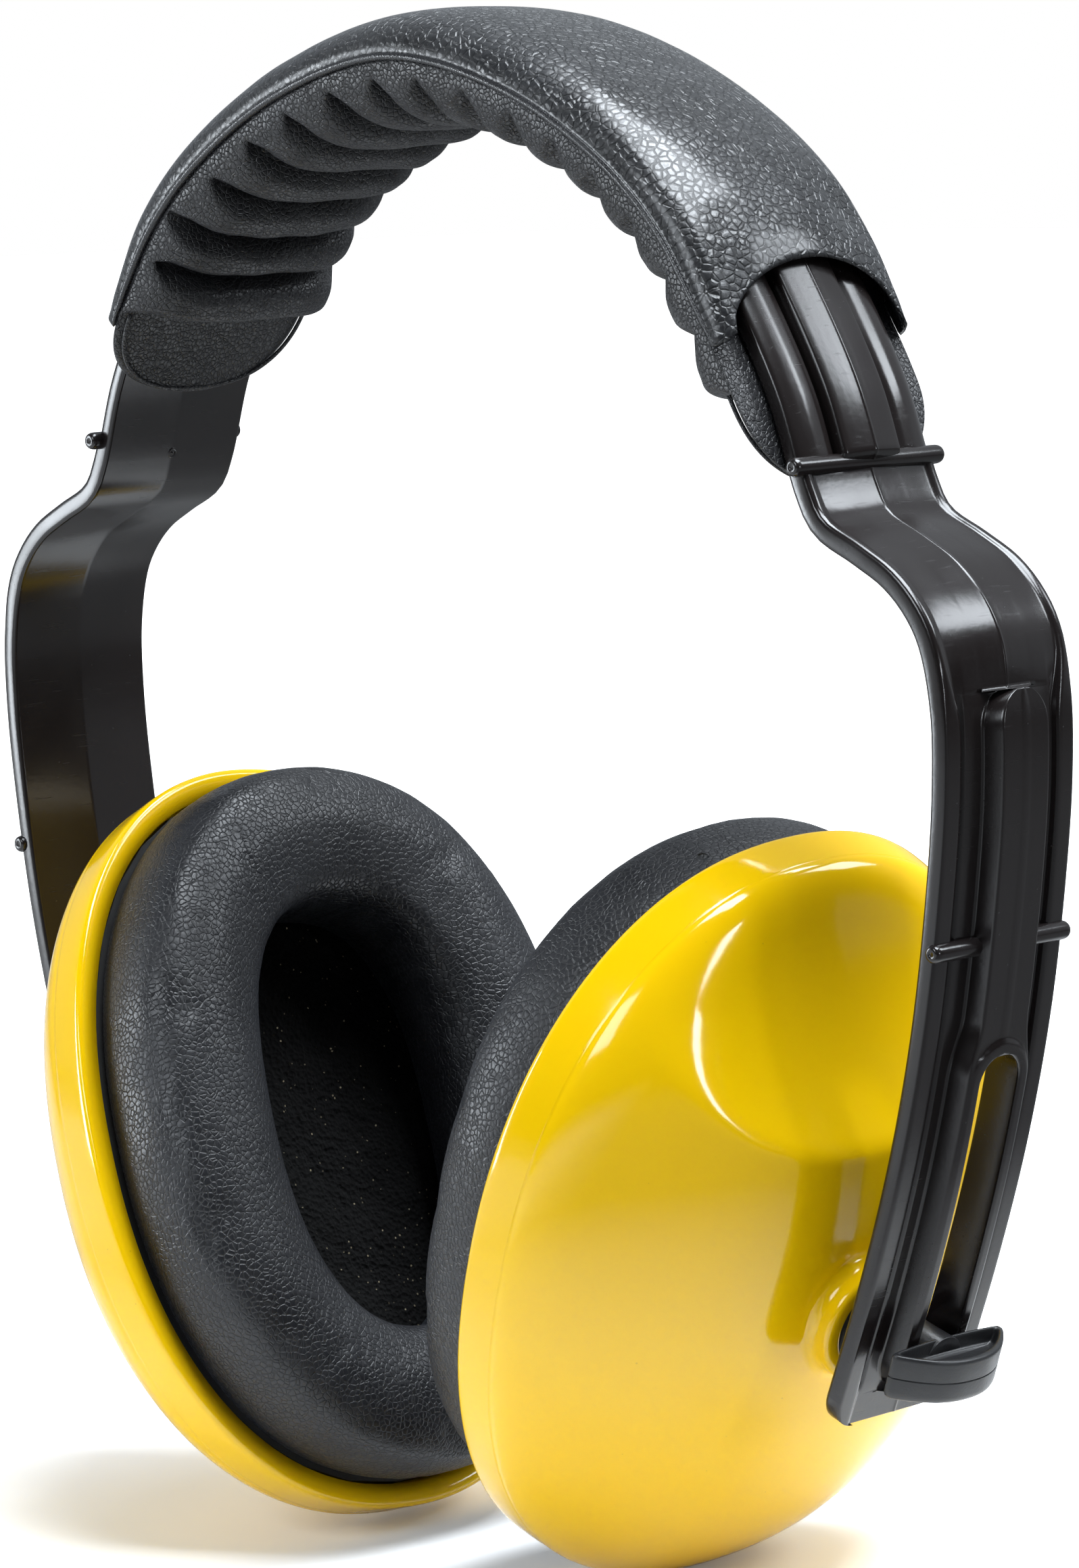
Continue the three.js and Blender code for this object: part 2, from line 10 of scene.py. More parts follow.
import bmesh
import bpy
import numpy as np
from mathutils import Matrix, Vector, noise

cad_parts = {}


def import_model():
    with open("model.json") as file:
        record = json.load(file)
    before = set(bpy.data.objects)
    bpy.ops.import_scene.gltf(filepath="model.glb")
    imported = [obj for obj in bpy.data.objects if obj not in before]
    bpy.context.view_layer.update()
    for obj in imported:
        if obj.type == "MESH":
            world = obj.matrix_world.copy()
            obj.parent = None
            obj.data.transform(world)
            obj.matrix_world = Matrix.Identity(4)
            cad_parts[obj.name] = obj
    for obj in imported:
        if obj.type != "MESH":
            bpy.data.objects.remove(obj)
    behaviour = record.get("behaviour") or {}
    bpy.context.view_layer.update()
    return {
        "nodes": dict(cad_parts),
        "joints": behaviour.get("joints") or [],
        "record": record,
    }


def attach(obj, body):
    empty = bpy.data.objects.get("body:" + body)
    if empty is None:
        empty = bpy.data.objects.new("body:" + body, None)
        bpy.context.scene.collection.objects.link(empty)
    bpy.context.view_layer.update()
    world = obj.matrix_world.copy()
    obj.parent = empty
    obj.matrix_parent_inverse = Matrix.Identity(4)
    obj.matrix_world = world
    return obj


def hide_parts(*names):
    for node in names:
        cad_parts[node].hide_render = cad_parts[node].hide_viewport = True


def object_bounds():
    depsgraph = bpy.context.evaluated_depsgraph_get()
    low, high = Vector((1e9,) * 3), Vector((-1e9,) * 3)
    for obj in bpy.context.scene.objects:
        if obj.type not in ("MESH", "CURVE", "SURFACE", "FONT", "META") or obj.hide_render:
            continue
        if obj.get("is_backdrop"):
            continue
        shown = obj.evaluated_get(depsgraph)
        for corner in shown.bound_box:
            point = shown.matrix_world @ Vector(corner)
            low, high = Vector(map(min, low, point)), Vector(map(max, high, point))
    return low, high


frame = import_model()

MM = 0.001
SIDES = (("left", 1), ("right", -1))

# ---- driving dimensions
GAP = 0.35

# The strap's outer face on the left side, from the crown to the arm end, as (x, z).
BAND_OUTLINE = [
    (0, 167.2), (22.2, 162.5), (40.4, 152.9), (50.7, 143.8), (58.3, 132.9), (65.3, 120.3),
    (69.6, 108.4), (71.7, 104.9), (77.8, 101.7), (83, 98.8), (86.9, 95.1), (89.6, 90.6),
    (91.5, 82), (91.6, 72), (90.5, 60), (87.6, 41.3), (83.4, 23.8), (77.9, 6.8), (70.5, -12.5),
]
STRAP_HALF_WIDTH = 12.5
STRAP_THICKNESS = 2.6
ARM_CORNER = 4
EDGE_ROUND = 0.6

# Places along the strap, as distances from the crown.
COVERED_TO = 60
BARE_FROM = 64
UPPER_BAR = 94.3
RIB_START = 132.5
MID_BAR = 165
SLOT_TOP = 179
SLOT_BOTTOM = 225.4

# Mouldings on the strap's outer face.
RIB_HALF_WIDTH = 4.4
RIB_HEIGHT = 2.6
RIM_HEIGHT = 3.1
RIM_CREST = 0.8
RIM_FADE = (0.5, 1.5)
SLOT_HALF_WIDTH = 3.8
SLOT_RIM = 2
FOOT = 0.5
SEAM_HEIGHT = 0.09
BAR_RADIUS = 1.25
BAR_END_ROUND = 1.1
GATE_AT = 96
UPPER_BAR_LENGTH = 28.4
MID_BAR_LENGTH = 26.2

# Headband cover and pad, with distances along the strap from their own middles.
COVER_SHIFT = 1
COVER_TIP = 75
COVER_ARCH = 66
COVER_HALF_WIDTH = 18.1
COVER_SKIN = 1.0
COVER_HEIGHT = 6.45
COVER_POWER = 2.8
PINCH_AT = (60, 12.5)
PINCH_SIZE = (4, 3.5)
PINCH_DEPTH = 0.9
PIPING_RADIUS = 0.55
PAD_SHIFT = 5.5
PAD_END = 77
PAD_HALF_WIDTH = 17.6
PAD_DEPTH = 9.0
PAD_RIBS = 16
PAD_GROOVE = 6.4
PAD_TOP = -STRAP_THICKNESS - GAP
TONGUE_END = 91
TONGUE_THICKNESS = 1.5
TONGUE_POWER = 2.4
PLEAT_AT = 60
PLEAT_SIZE = 3.2

# Cup, in its own axes about the middle of the flange plane, with depths out from the head.
CUP_A = 43
CUP_B = 55
OVAL_POWER = 2.2
CUP_WALL_HEIGHT = 7
CUP_DEPTH = 30.5
DOME_POWER = 0.67
CUP_DRAFT = 0.6
CUP_SKIN = 2.5
LIP_WIDTH = 3.4
DISH_CENTRE = (62.3, 64.5)
DISH_RADIUS = 53.8
DISH_RADIUS_Y = 400
DISH_BLEND = 1.1
DISH_BLEND_TOP = 5
DISH_BLEND_RISE = (29, 41)
BALL_BELOW_CENTRE = 0.7

# Ball joint, with distances out from the ball's centre.
BALL_RADIUS = 5
RING_INNER = 5.35
RING_OUTER = 6.85
RING_HALF_LENGTH = 2.6
SOCKET_RADIUS = 7.2
BOSS_RADIUS = 8.75
BOSS_TOP = 3.2
BOSS_BACK = -8
BOSS_FILLET = 1.5
HUB_NECK_RADIUS = 3.2
HUB_COLLAR_RADIUS = 5.2
HUB_COLLAR_BACK = 4.7
HUB_TOP = 6.3
HUB_BORE = 2
HUB_BORE_END = -3.4
STUD_RADIUS = 1.65
KNOB_BACK = 13.3
KNOB_BULGE = 6.5
KNOB_END_DEPTH = 1.6
KNOB_BOW_POWER = 2.3
KNOB_HALF_LENGTH = 10.5
KNOB_HEIGHT = 6.2

# Ear cushion.
CUSHION_DEPTH = 15.6
HOLE_A = 19.3
HOLE_B = 31.5
HOLE_POWER = 2.6
VENT_PLACE = (-5.5, -9, 50)
VENT_RADII = (0.5, 0.8)
PUFF_PRESSURE = 2.5
PUFF_CAP = 0.6

# Foam liner.
FOAM_FRONT = 6
FOAM_INSET = 2.6

# Working values.
CLOTH_FRAMES = 14
NEAR_AXIS = 0.05            # where a turned profile starts, just off its axis
CELL_WANDER = 0.3


# ---- numbers and outlines
def ramp(x, low, high):
    """0 below low, 1 above high, and smooth in between."""
    t = np.clip((np.asarray(x, float) - low) / (high - low), 0, 1)
    return t * t * (3 - 2 * t)


def bump_noise(points, size, seed):
    """Smooth noise in -1..1 at points in millimetres, with features about size across."""
    offset = Vector((seed * 17.3, seed * 5.1, seed * 9.7))
    flat = np.asarray(points, float).reshape(-1, 3) / size
    values = [noise.noise(Vector(p) + offset) for p in flat]
    return np.array(values).reshape(np.shape(points)[:-1])


def soften(outline, radii, steps=3):
    """Rounds each corner of a closed outline with a short curve of steps + 1 points."""
    points = np.asarray(outline, float)
    before = np.roll(points, 1, axis=0) - points
    after = np.roll(points, -1, axis=0) - points
    result = []
    for point, back, ahead, radius in zip(points, before, after, radii):
        start = point + back * min(0.48, radius / max(np.linalg.norm(back), 1e-9))
        end = point + ahead * min(0.48, radius / max(np.linalg.norm(ahead), 1e-9))
        for t in np.linspace(0, 1, steps + 1):
            result.append(start * (1 - t) ** 2 + point * 2 * t * (1 - t) + end * t**2)
    return np.array(result)


def full_turn(count):
    """Angles once round, evenly spaced."""
    return np.linspace(0, 2 * np.pi, count, endpoint=False)


def oval(a, b, angles, power=OVAL_POWER):
    """(y, z) on a superellipse with half axes a and b."""
    c, s = np.cos(angles), np.sin(angles)
    y = a * np.sign(c) * np.abs(c) ** (2 / power)
    z = b * np.sign(s) * np.abs(s) ** (2 / power)
    return y, z


# ---- strap path
def centripetal(control, per_span):
    """Points on the centripetal Catmull-Rom curve through the control points."""
    ends = 2 * control[[0, -1]] - control[[1, -2]]
    p = np.vstack([ends[0], control, ends[1]])
    root = np.sqrt(np.linalg.norm(np.diff(p, axis=0), axis=1))
    t = np.linspace(0, 1, per_span, endpoint=False)[:, None]
    spans = []
    for i in range(1, len(p) - 2):
        da, db, dc = root[i - 1 : i + 2]
        leave = (p[i] - p[i - 1]) / da - (p[i + 1] - p[i - 1]) / (da + db) + (p[i + 1] - p[i]) / db
        arrive = (p[i + 1] - p[i]) / db - (p[i + 2] - p[i]) / (db + dc) + (p[i + 2] - p[i + 1]) / dc
        leave, arrive = leave * db, arrive * db
        c2 = 3 * (p[i + 1] - p[i]) - 2 * leave - arrive
        c3 = 2 * (p[i] - p[i + 1]) + leave + arrive
        spans.append(p[i] + leave * t + c2 * t**2 + c3 * t**3)
    return np.vstack([*spans, control[-1]])


class StrapPath:
    """The strap's outer face in its middle plane, by distance along it from the crown."""

    def __init__(self, outline, origin):
        self.origin = np.array(origin, float)
        left = np.array(outline, float)
        right = left[:0:-1] * (-1, 1)
        self.points = centripetal(np.vstack([right, left]), 120)
        lengths = np.linalg.norm(np.diff(self.points, axis=0), axis=1)
        self.distance = np.concatenate([[0], np.cumsum(lengths)])
        self.end = self.distance[-1] / 2
        self.distance -= self.end
        slope = np.gradient(self.points, self.distance, axis=0)
        self.tangent = slope / np.linalg.norm(slope, axis=1)[:, None]

    def at(self, along, raised, across):
        """Points at distances along, raised off the outer face, and across the strap."""
        along, raised, across = np.broadcast_arrays(along, raised, across)
        x, z = (np.interp(along, self.distance, self.points[:, k]) for k in (0, 1))
        tx, tz = (np.interp(along, self.distance, self.tangent[:, k]) for k in (0, 1))
        return self.origin + np.stack([x - tz * raised, across, z + tx * raised], axis=-1)


JOINTS = {joint["name"]: joint for joint in frame["joints"]}
BALLS = {side: np.array(JOINTS[f"{side}_swing"]["pos_m"]) / MM for side, _ in SIDES}
BALL_MIDDLE = (BALLS["left"] + BALLS["right"]) / 2
STRAP = StrapPath(BAND_OUTLINE, BALL_MIDDLE)


# ---- meshes
def grid_faces(rows, columns, close_rows=False, close_columns=False):
    """Quads over a grid of vertices held row by row."""
    faces = []
    for i in range(rows if close_rows else rows - 1):
        here = i * columns
        there = (i + 1) % rows * columns
        for j in range(columns if close_columns else columns - 1):
            k = (j + 1) % columns
            faces.append((here + j, here + k, there + k, there + j))
    return faces


def loft(rings, closed=False):
    """A closed body through rings of points: open ends get a fan, a closed one meets itself."""
    rings = np.asarray(rings, float)
    rows, count = rings.shape[:2]
    vertices = rings.reshape(-1, 3)
    faces = grid_faces(rows, count, closed, True)
    if not closed:
        for ring, first in ((rings[0], 0), (rings[-1], (rows - 1) * count)):
            vertices = np.vstack([vertices, ring.mean(axis=0)])
            pole = len(vertices) - 1
            faces += [(first + j, first + (j + 1) % count, pole) for j in range(count)]
    return vertices, faces


def merge(*bodies):
    """Several (vertices, faces) bodies as one."""
    vertices, faces, first = [], [], 0
    for points, polygons in bodies:
        vertices.append(points)
        faces += [tuple(first + v for v in polygon) for polygon in polygons]
        first += len(points)
    return np.vstack(vertices), faces


def linked(name, data):
    """A new object in the scene."""
    obj = bpy.data.objects.new(name, data)
    bpy.context.scene.collection.objects.link(obj)
    return obj


def mesh_object(name, vertices, faces, weld):
    """A new smooth object with its faces turned outwards, from vertices in scene units."""
    mesh = bpy.data.meshes.new(name)
    mesh.from_pydata(vertices.tolist(), [], faces)
    work = bmesh.new()
    work.from_mesh(mesh)
    if weld:
        bmesh.ops.remove_doubles(work, verts=work.verts, dist=1e-6)
    bmesh.ops.recalc_face_normals(work, faces=work.faces)
    for face in work.faces:
        face.smooth = True
    work.to_mesh(mesh)
    work.free()
    return linked(name, mesh)


def piece(name, body, rides_on, material, replaces=()):
    """Makes a visible piece from (vertices, faces) and ties it to the frame."""
    vertices, faces = body
    obj = mesh_object(name, vertices * MM, faces, weld=True)
    obj.data.materials.append(material)
    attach(obj, rides_on)
    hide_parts(*replaces)


def puffed(body, held, pressure, cap):
    """Swells a closed body like stuffed cloth.

    Points where held is 1 are sewn down, and no point moves more than cap millimetres. The
    cloth is simulated at ten times its size, where the solver behaves well.
    """
    vertices, faces = body
    scale = 10 * MM
    scene = bpy.context.scene
    obj = mesh_object("cloth_work", vertices * scale, faces, weld=False)
    group = obj.vertex_groups.new(name="held")
    for index in np.flatnonzero(held > 0.02):
        group.add([int(index)], float(min(1, held[index])), "REPLACE")
    cloth = obj.modifiers.new("cloth", "CLOTH")
    cloth.settings.quality = 4
    cloth.settings.mass = 0.3
    cloth.settings.tension_stiffness = 15
    cloth.settings.compression_stiffness = 15
    cloth.settings.bending_stiffness = 0.5
    cloth.settings.use_pressure = True
    cloth.settings.uniform_pressure_force = pressure
    cloth.settings.effector_weights.gravity = 0
    cloth.settings.vertex_group_mass = "held"
    cloth.collision_settings.use_collision = False
    for step in range(1, CLOTH_FRAMES + 1):
        scene.frame_set(step)
    solved = obj.evaluated_get(bpy.context.evaluated_depsgraph_get())
    flat = np.empty(3 * len(vertices))
    solved.data.vertices.foreach_get("co", flat)
    bpy.data.objects.remove(obj)
    scene.frame_set(1)
    move = flat.reshape(-1, 3) / scale - vertices
    length = np.linalg.norm(move, axis=1, keepdims=True)
    move *= np.minimum(1, cap / np.maximum(length, 1e-9))
    return vertices + move, faces


class Axes:
    """A set of axes in the row frame: local (x, y, z) to row points."""

    def __init__(self, origin, x, z):
        x, z = np.array(x, float), np.array(z, float)
        x, z = x / np.linalg.norm(x), z / np.linalg.norm(z)
        self.origin = np.array(origin, float)
        self.basis = np.stack([x, np.cross(z, x), z])

    def place(self, points):
        return self.origin + np.asarray(points, float) @ self.basis


def lathe(profile, axes, segments=64):
    """Turns a closed profile of (radius, distance along x) about the local X axis."""
    profile = np.asarray(profile, float)
    rings = [
        np.stack([profile[:, 1], profile[:, 0] * np.cos(t), profile[:, 0] * np.sin(t)], axis=1)
        for t in full_turn(segments)
    ]
    faces = grid_faces(segments, len(profile), True, True)
    return axes.place(np.vstack(rings)), faces


# ---- materials
class Shader:
    """The node tree of a material or world, built by short calls that give back sockets."""

    def __init__(self, owner, place="Object"):
        self.owner = owner
        owner.use_nodes = True
        self.tree = owner.node_tree
        self.tree.nodes.clear()
        self.where = self.add("ShaderNodeTexCoord").outputs[place]

    def add(self, kind, inputs=(), **settings):
        node = self.tree.nodes.new(kind)
        for key, value in settings.items():
            setattr(node, key, value)
        for key, value in dict(inputs).items():
            if isinstance(value, bpy.types.NodeSocket):
                self.tree.links.new(value, node.inputs[key])
            else:
                node.inputs[key].default_value = value
        return node

    def noise(self, size, detail=2, stretch=(1, 1, 1), roughness=0.5):
        """Noise in 0..1 with features about size millimetres across."""
        inputs = {
            "Vector": self.vector("MULTIPLY", self.where, stretch)[0], "Scale": 1 / (size * MM),
            "Detail": detail, "Roughness": roughness,
        }
        return self.add("ShaderNodeTexNoise", inputs).outputs["Fac"]

    def vector(self, operation, a, b=(0, 0, 0)):
        return self.add("ShaderNodeVectorMath", {0: a, 1: b}, operation=operation).outputs

    def cells(self, size, feature="F1"):
        """Distances in Voronoi cells about size millimetres across, with wandering edges."""
        scale = 1 / (size * MM)
        wander = self.add("ShaderNodeTexNoise", {"Vector": self.where, "Scale": scale * 0.8})
        shift = self.vector("MULTIPLY", wander.outputs["Color"], (CELL_WANDER * size * MM,) * 3)
        inputs = {"Vector": self.vector("ADD", self.where, shift[0])[0], "Scale": scale}
        return self.add("ShaderNodeTexVoronoi", inputs, feature=feature).outputs["Distance"]

    def math(self, operation, a, b):
        return self.add("ShaderNodeMath", {0: a, 1: b}, operation=operation).outputs[0]

    def remap(self, value, low, high, to_low=0, to_high=1):
        """Carries low..high over to to_low..to_high, and stops at both ends."""
        inputs = {
            "Value": value, "From Min": low, "From Max": high, "To Min": to_low, "To Max": to_high,
        }
        return self.add("ShaderNodeMapRange", inputs).outputs["Result"]

    def mix(self, factor, a, b):
        node = self.add("ShaderNodeMix", {0: factor, 6: a, 7: b}, data_type="RGBA")
        return node.outputs[2]

    def bump(self, height, depth, strength, normal=None):
        """Raises the surface by height times depth millimetres."""
        inputs = {"Height": height, "Distance": depth * MM, "Strength": strength}
        if normal is not None:
            inputs["Normal"] = normal
        return self.add("ShaderNodeBump", inputs).outputs["Normal"]

    def edges(self, low=0.52, high=0.58):
        """0 on flat places, up to 1 on sharp outward edges."""
        pointiness = self.add("ShaderNodeNewGeometry").outputs["Pointiness"]
        return self.remap(pointiness, low, high)

    def finish(self, **inputs):
        named = {key.replace("_", " "): value for key, value in inputs.items()}
        surface = self.add("ShaderNodeBsdfPrincipled", named).outputs[0]
        self.add("ShaderNodeOutputMaterial", {"Surface": surface})
        return self.owner


def new_shader(name):
    """The node tree of a new material."""
    return Shader(bpy.data.materials.new(name))


def rgb(red, green, blue):
    return (red, green, blue, 1.0)


def black_plastic():
    """Glossy injection-moulded black, with faint flow ripples, hairline scratches and dust."""
    s = new_shader("black_plastic")
    ripple = s.noise(0.8, detail=3)
    flow = s.noise(14)
    scratch = s.noise(0.35, detail=1, stretch=(1, 0.05, 1))
    dust = s.remap(s.cells(2.6), 0.05, 0.035)
    worn = s.math("MULTIPLY", s.edges(), s.noise(3, detail=4))
    base = rgb(0.0085, 0.0065, 0.0063)
    base = s.mix(s.math("MULTIPLY", worn, 0.3), base, rgb(0.022, 0.021, 0.021))
    base = s.mix(s.math("MULTIPLY", dust, 0.3), base, rgb(0.08, 0.08, 0.08))
    rough = s.remap(flow, 0.3, 0.7, 0.16, 0.26)
    rough = s.math("ADD", rough, s.remap(scratch, 0.66, 0.74, 0, 0.06))
    normal = s.bump(ripple, 0.03, 0.3)
    normal = s.bump(flow, 0.25, 0.35, normal)
    return s.finish(Base_Color=base, Roughness=rough, Normal=normal, IOR=1.5)


def slider_plastic():
    """Satin moulded black, slightly pitted."""
    s = new_shader("slider_plastic")
    grain = s.noise(0.4, detail=3)
    base = s.mix(s.edges(), rgb(0.011, 0.011, 0.012), rgb(0.03, 0.03, 0.032))
    rough = s.remap(s.noise(4, detail=3), 0.3, 0.7, 0.3, 0.45)
    return s.finish(Base_Color=base, Roughness=rough, Normal=s.bump(grain, 0.05, 0.5), IOR=1.5)


def leather(name, base, worn, grain, depth, roughness, crease=0.5, coat=0.0, vent=None):
    """Coated leatherette: pebbles of the grain size with painted shade in the valleys between them,
    finer pores, soft creases and a cool sheen.

    vent is a point in millimetres where the skin has a pinhole.
    """
    s = new_shader(name)
    pebble = s.cells(grain, "SMOOTH_F1")
    edge = s.cells(grain, "DISTANCE_TO_EDGE")
    pores = s.noise(grain * 0.35, detail=3)
    fold = s.noise(7, detail=4, stretch=(1, 1.8, 1))
    valley = s.remap(edge, 0.0, 0.14)
    colour = s.mix(s.remap(s.noise(18, detail=3), 0.3, 0.7), base, worn)
    # painted shade: the valleys between pebbles are darkened towards 0.4 of the base colour
    dark = rgb(*(c * 0.4 for c in base[:3]))
    colour = s.mix(s.math("MULTIPLY", s.math("SUBTRACT", 1.0, valley), 0.7), colour, dark)
    colour = s.mix(s.math("MULTIPLY", s.edges(0.51, 0.6), 0.5), colour, worn)
    rough = s.remap(s.noise(9, detail=4), 0.3, 0.7, roughness - 0.07, roughness + 0.08)
    rough = s.math("ADD", rough, s.remap(valley, 0.0, 1.0, 0.15, 0.0))
    normal = s.bump(valley, depth, 0.8)
    normal = s.bump(s.math("SUBTRACT", 1.0, pebble), depth, 0.7, normal)
    normal = s.bump(pores, depth * 0.5, 0.5, normal)
    normal = s.bump(fold, 0.6, crease, normal)
    if vent is not None:
        away = s.vector("DISTANCE", s.where, tuple(vent * MM))["Value"]
        rim = s.remap(away, VENT_RADII[0] * MM, VENT_RADII[1] * MM)
        colour = s.mix(rim, rgb(0, 0, 0), colour)
        normal = s.bump(rim, 0.6, 1.0, normal)
    return s.finish(
        Base_Color=colour, Roughness=rough, Normal=normal, IOR=1.48,
        Sheen_Weight=0.02, Sheen_Roughness=0.35, Sheen_Tint=rgb(0.6, 0.7, 0.9),
        Coat_Weight=coat, Coat_Roughness=0.2,
    )


def cushion_leather(prefix, vent):
    """Finer, smoother leatherette, made for each side because the pinhole's place differs."""
    return leather(
        f"{prefix}_cushion_leatherette", rgb(0.0075, 0.0075, 0.009), rgb(0.012, 0.0125, 0.015),
        grain=0.8, depth=0.07, roughness=0.37, crease=0.25, vent=vent,
    )


def yellow_plastic():
    """Polished coloured shell: a clear gloss over a slightly translucent body."""
    s = new_shader("yellow_plastic")
    tone = s.noise(25, detail=3)
    base = s.mix(tone, rgb(0.78, 0.475, 0.001), rgb(0.84, 0.52, 0.0015))
    speck = s.remap(s.cells(5.5), 0.03, 0.02)
    base = s.mix(s.math("MULTIPLY", speck, 0.35), base, rgb(0.35, 0.2, 0.02))
    rough = s.remap(s.noise(6, detail=4), 0.3, 0.7, 0.07, 0.13)
    normal = s.bump(s.noise(2.2), 0.05, 0.25)
    normal = s.bump(s.noise(20, detail=1), 0.5, 0.25, normal)
    return s.finish(
        Base_Color=base, Roughness=rough, Normal=normal, IOR=1.5,
        Subsurface_Weight=0.12, Subsurface_Radius=(1.0, 0.6, 0.05), Subsurface_Scale=0.002,
    )


def foam(name, base, glint_colour):
    """Open-cell foam: pits, torn cell walls, painted shade in its fine hollows and a few glinting
    fibres as painted glints.
    """
    s = new_shader(name)
    pits = s.cells(0.7)
    fine = s.noise(0.3, detail=4, roughness=0.7)
    # painted glints: lighter specks in the colour stand for fibres catching the light
    glint = s.remap(s.cells(1.1), 0.16, 0.1)
    glint = s.math("MULTIPLY", glint, s.remap(s.noise(1.9), 0.5, 0.6))
    # painted shade: darker where the fine texture dips, following the same noise as its bump
    colour = s.mix(fine, rgb(*(c * 0.4 for c in base[:3])), base)
    colour = s.mix(glint, colour, glint_colour)
    normal = s.bump(pits, 0.4, 1.0)
    normal = s.bump(fine, 0.2, 0.8, normal)
    return s.finish(Base_Color=colour, Roughness=0.95, Normal=normal, Specular_IOR_Level=0.15)


def nylon():
    """Matte moulded black with a fine spark-eroded grain."""
    s = new_shader("nylon")
    grain = s.noise(0.25)
    rough = s.remap(s.noise(3), 0.3, 0.7, 0.4, 0.55)
    base = s.mix(s.noise(8), rgb(0.018, 0.018, 0.018), rgb(0.03, 0.03, 0.03))
    return s.finish(Base_Color=base, Roughness=rough, Normal=s.bump(grain, 0.04, 0.6))


def floor_paint():
    """Pale matt floor that brightens into the backdrop, and reflects as dark except on the left."""
    s = new_shader("floor_paint")
    tone = s.mix(s.noise(300), rgb(0.86, 0.86, 0.86), rgb(0.9, 0.9, 0.9))
    far = s.vector("LENGTH", s.where)["Value"]
    seen = s.add("ShaderNodeLightPath").outputs["Is Camera Ray"]
    unseen = s.math("SUBTRACT", 1.0, seen)
    side = s.vector("DOT_PRODUCT", s.where, tuple(level))["Value"]
    dim = s.math("MULTIPLY", s.remap(far, *FLOOR_DIMS_M, 0, 0.92), unseen)
    dim = s.math("MULTIPLY", dim, s.remap(side, *FLOOR_SIDE_M, 0.4, 1))
    glow = s.math("MULTIPLY", s.remap(far, *FLOOR_GLOWS_M, 0.08, 1), seen)
    return s.finish(
        Base_Color=s.mix(dim, tone, rgb(0.05, 0.05, 0.05)), Roughness=0.9, Specular_IOR_Level=0.1,
        Emission_Color=rgb(1, 1, 1), Emission_Strength=glow,
    )


BLACK_PLASTIC = black_plastic()
SLIDER_PLASTIC = slider_plastic()
COVER_LEATHER = leather(
    "cover_leatherette", rgb(0.0085, 0.0085, 0.009), rgb(0.016, 0.0165, 0.018),
    grain=1.15, depth=0.2, roughness=0.32, coat=0.35,
)
PIPING = leather(
    "welded_piping", rgb(0.012, 0.012, 0.013), rgb(0.02, 0.02, 0.022),
    grain=0.5, depth=0.02, roughness=0.22, crease=0.1,
)
PAD_LEATHER = leather(
    "pad_leatherette", rgb(0.0115, 0.011, 0.0115), rgb(0.019, 0.019, 0.021),
    grain=0.7, depth=0.12, roughness=0.38, crease=0.9,
)
YELLOW_PLASTIC = yellow_plastic()
ACOUSTIC_FOAM = foam("acoustic_foam", rgb(0.006, 0.006, 0.006), rgb(0.35, 0.3, 0.2))
FOAM = foam("foam", rgb(0.05, 0.05, 0.05), rgb(0.1, 0.1, 0.1))
NYLON = nylon()


# ---- headband strap
def stadium_half(s, top, bottom, radius):
    """Half width at s of a slot shape with round ends at top and bottom."""
    inside = min(s - top, bottom - s)
    if inside <= 0:
        return 0.0
    return math.sqrt(radius**2 - max(0, radius - inside) ** 2)


# Half sections of the strap's outer face, from the middle line to the edge, as (across, raised).
PLAIN_FACE = [
    (0, 0.5), (0.3, 0.48), (1.3, 0.44), (2.3, 0.38), (3.3, 0.32), (4.4, 0.25), (4.9, 0.22),
    (5.4, 0.2), (8, 0.05), (10.7, -0.1), (11.2, 0.3), (12, 0.35), (12.5, 0),
]
UPPER_FACE = [
    (0, 2.2), (0.3, 2.17), (1.5, 2.08), (3, 1.92), (4.3, 1.75), (5.1, 1.6), (5.4, 1.2), (5.5, -0.8),
    (6.0, 0.1), (7.4, 0.55), (9.2, 0.65), (11.2, 0.3), (12.5, -0.4),
]
LAND = -0.5                 # height of the sunken land beside the rib
LOWER_FACE = [(across, LAND) for across in (0, 0.3, 1.3, 2.3, 3.3, 4.4, 4.9, 5.4, 8.3)]
LOWER_FACE += [(8.85, -1.3), (9.4, 0), (11, 0), (12.5, -0.05)]
FACE_RADII = [0, 0.15, 0.2, 0.2, 0.2, 0.2, 0.45, 0.4, 0.3, 0.5, 0.45, 0.8, 0.5]
RIB_COLUMNS = 7             # the face's points that lie on the rib, when there is one
GROOVE = 9                  # the face's point at the bottom of the groove


def rim_lift(s, across):
    """The rounded bead round the slot, as a height over the rib's top."""
    end = SLOT_TOP + SLOT_HALF_WIDTH if s < SLOT_TOP + SLOT_HALF_WIDTH else s
    end = min(end, SLOT_BOTTOM - SLOT_HALF_WIDTH)
    away = np.hypot(s - end, across) - SLOT_HALF_WIDTH
    return (RIM_HEIGHT - RIB_HEIGHT) * (1 - ramp(np.abs(away - RIM_CREST), *RIM_FADE))


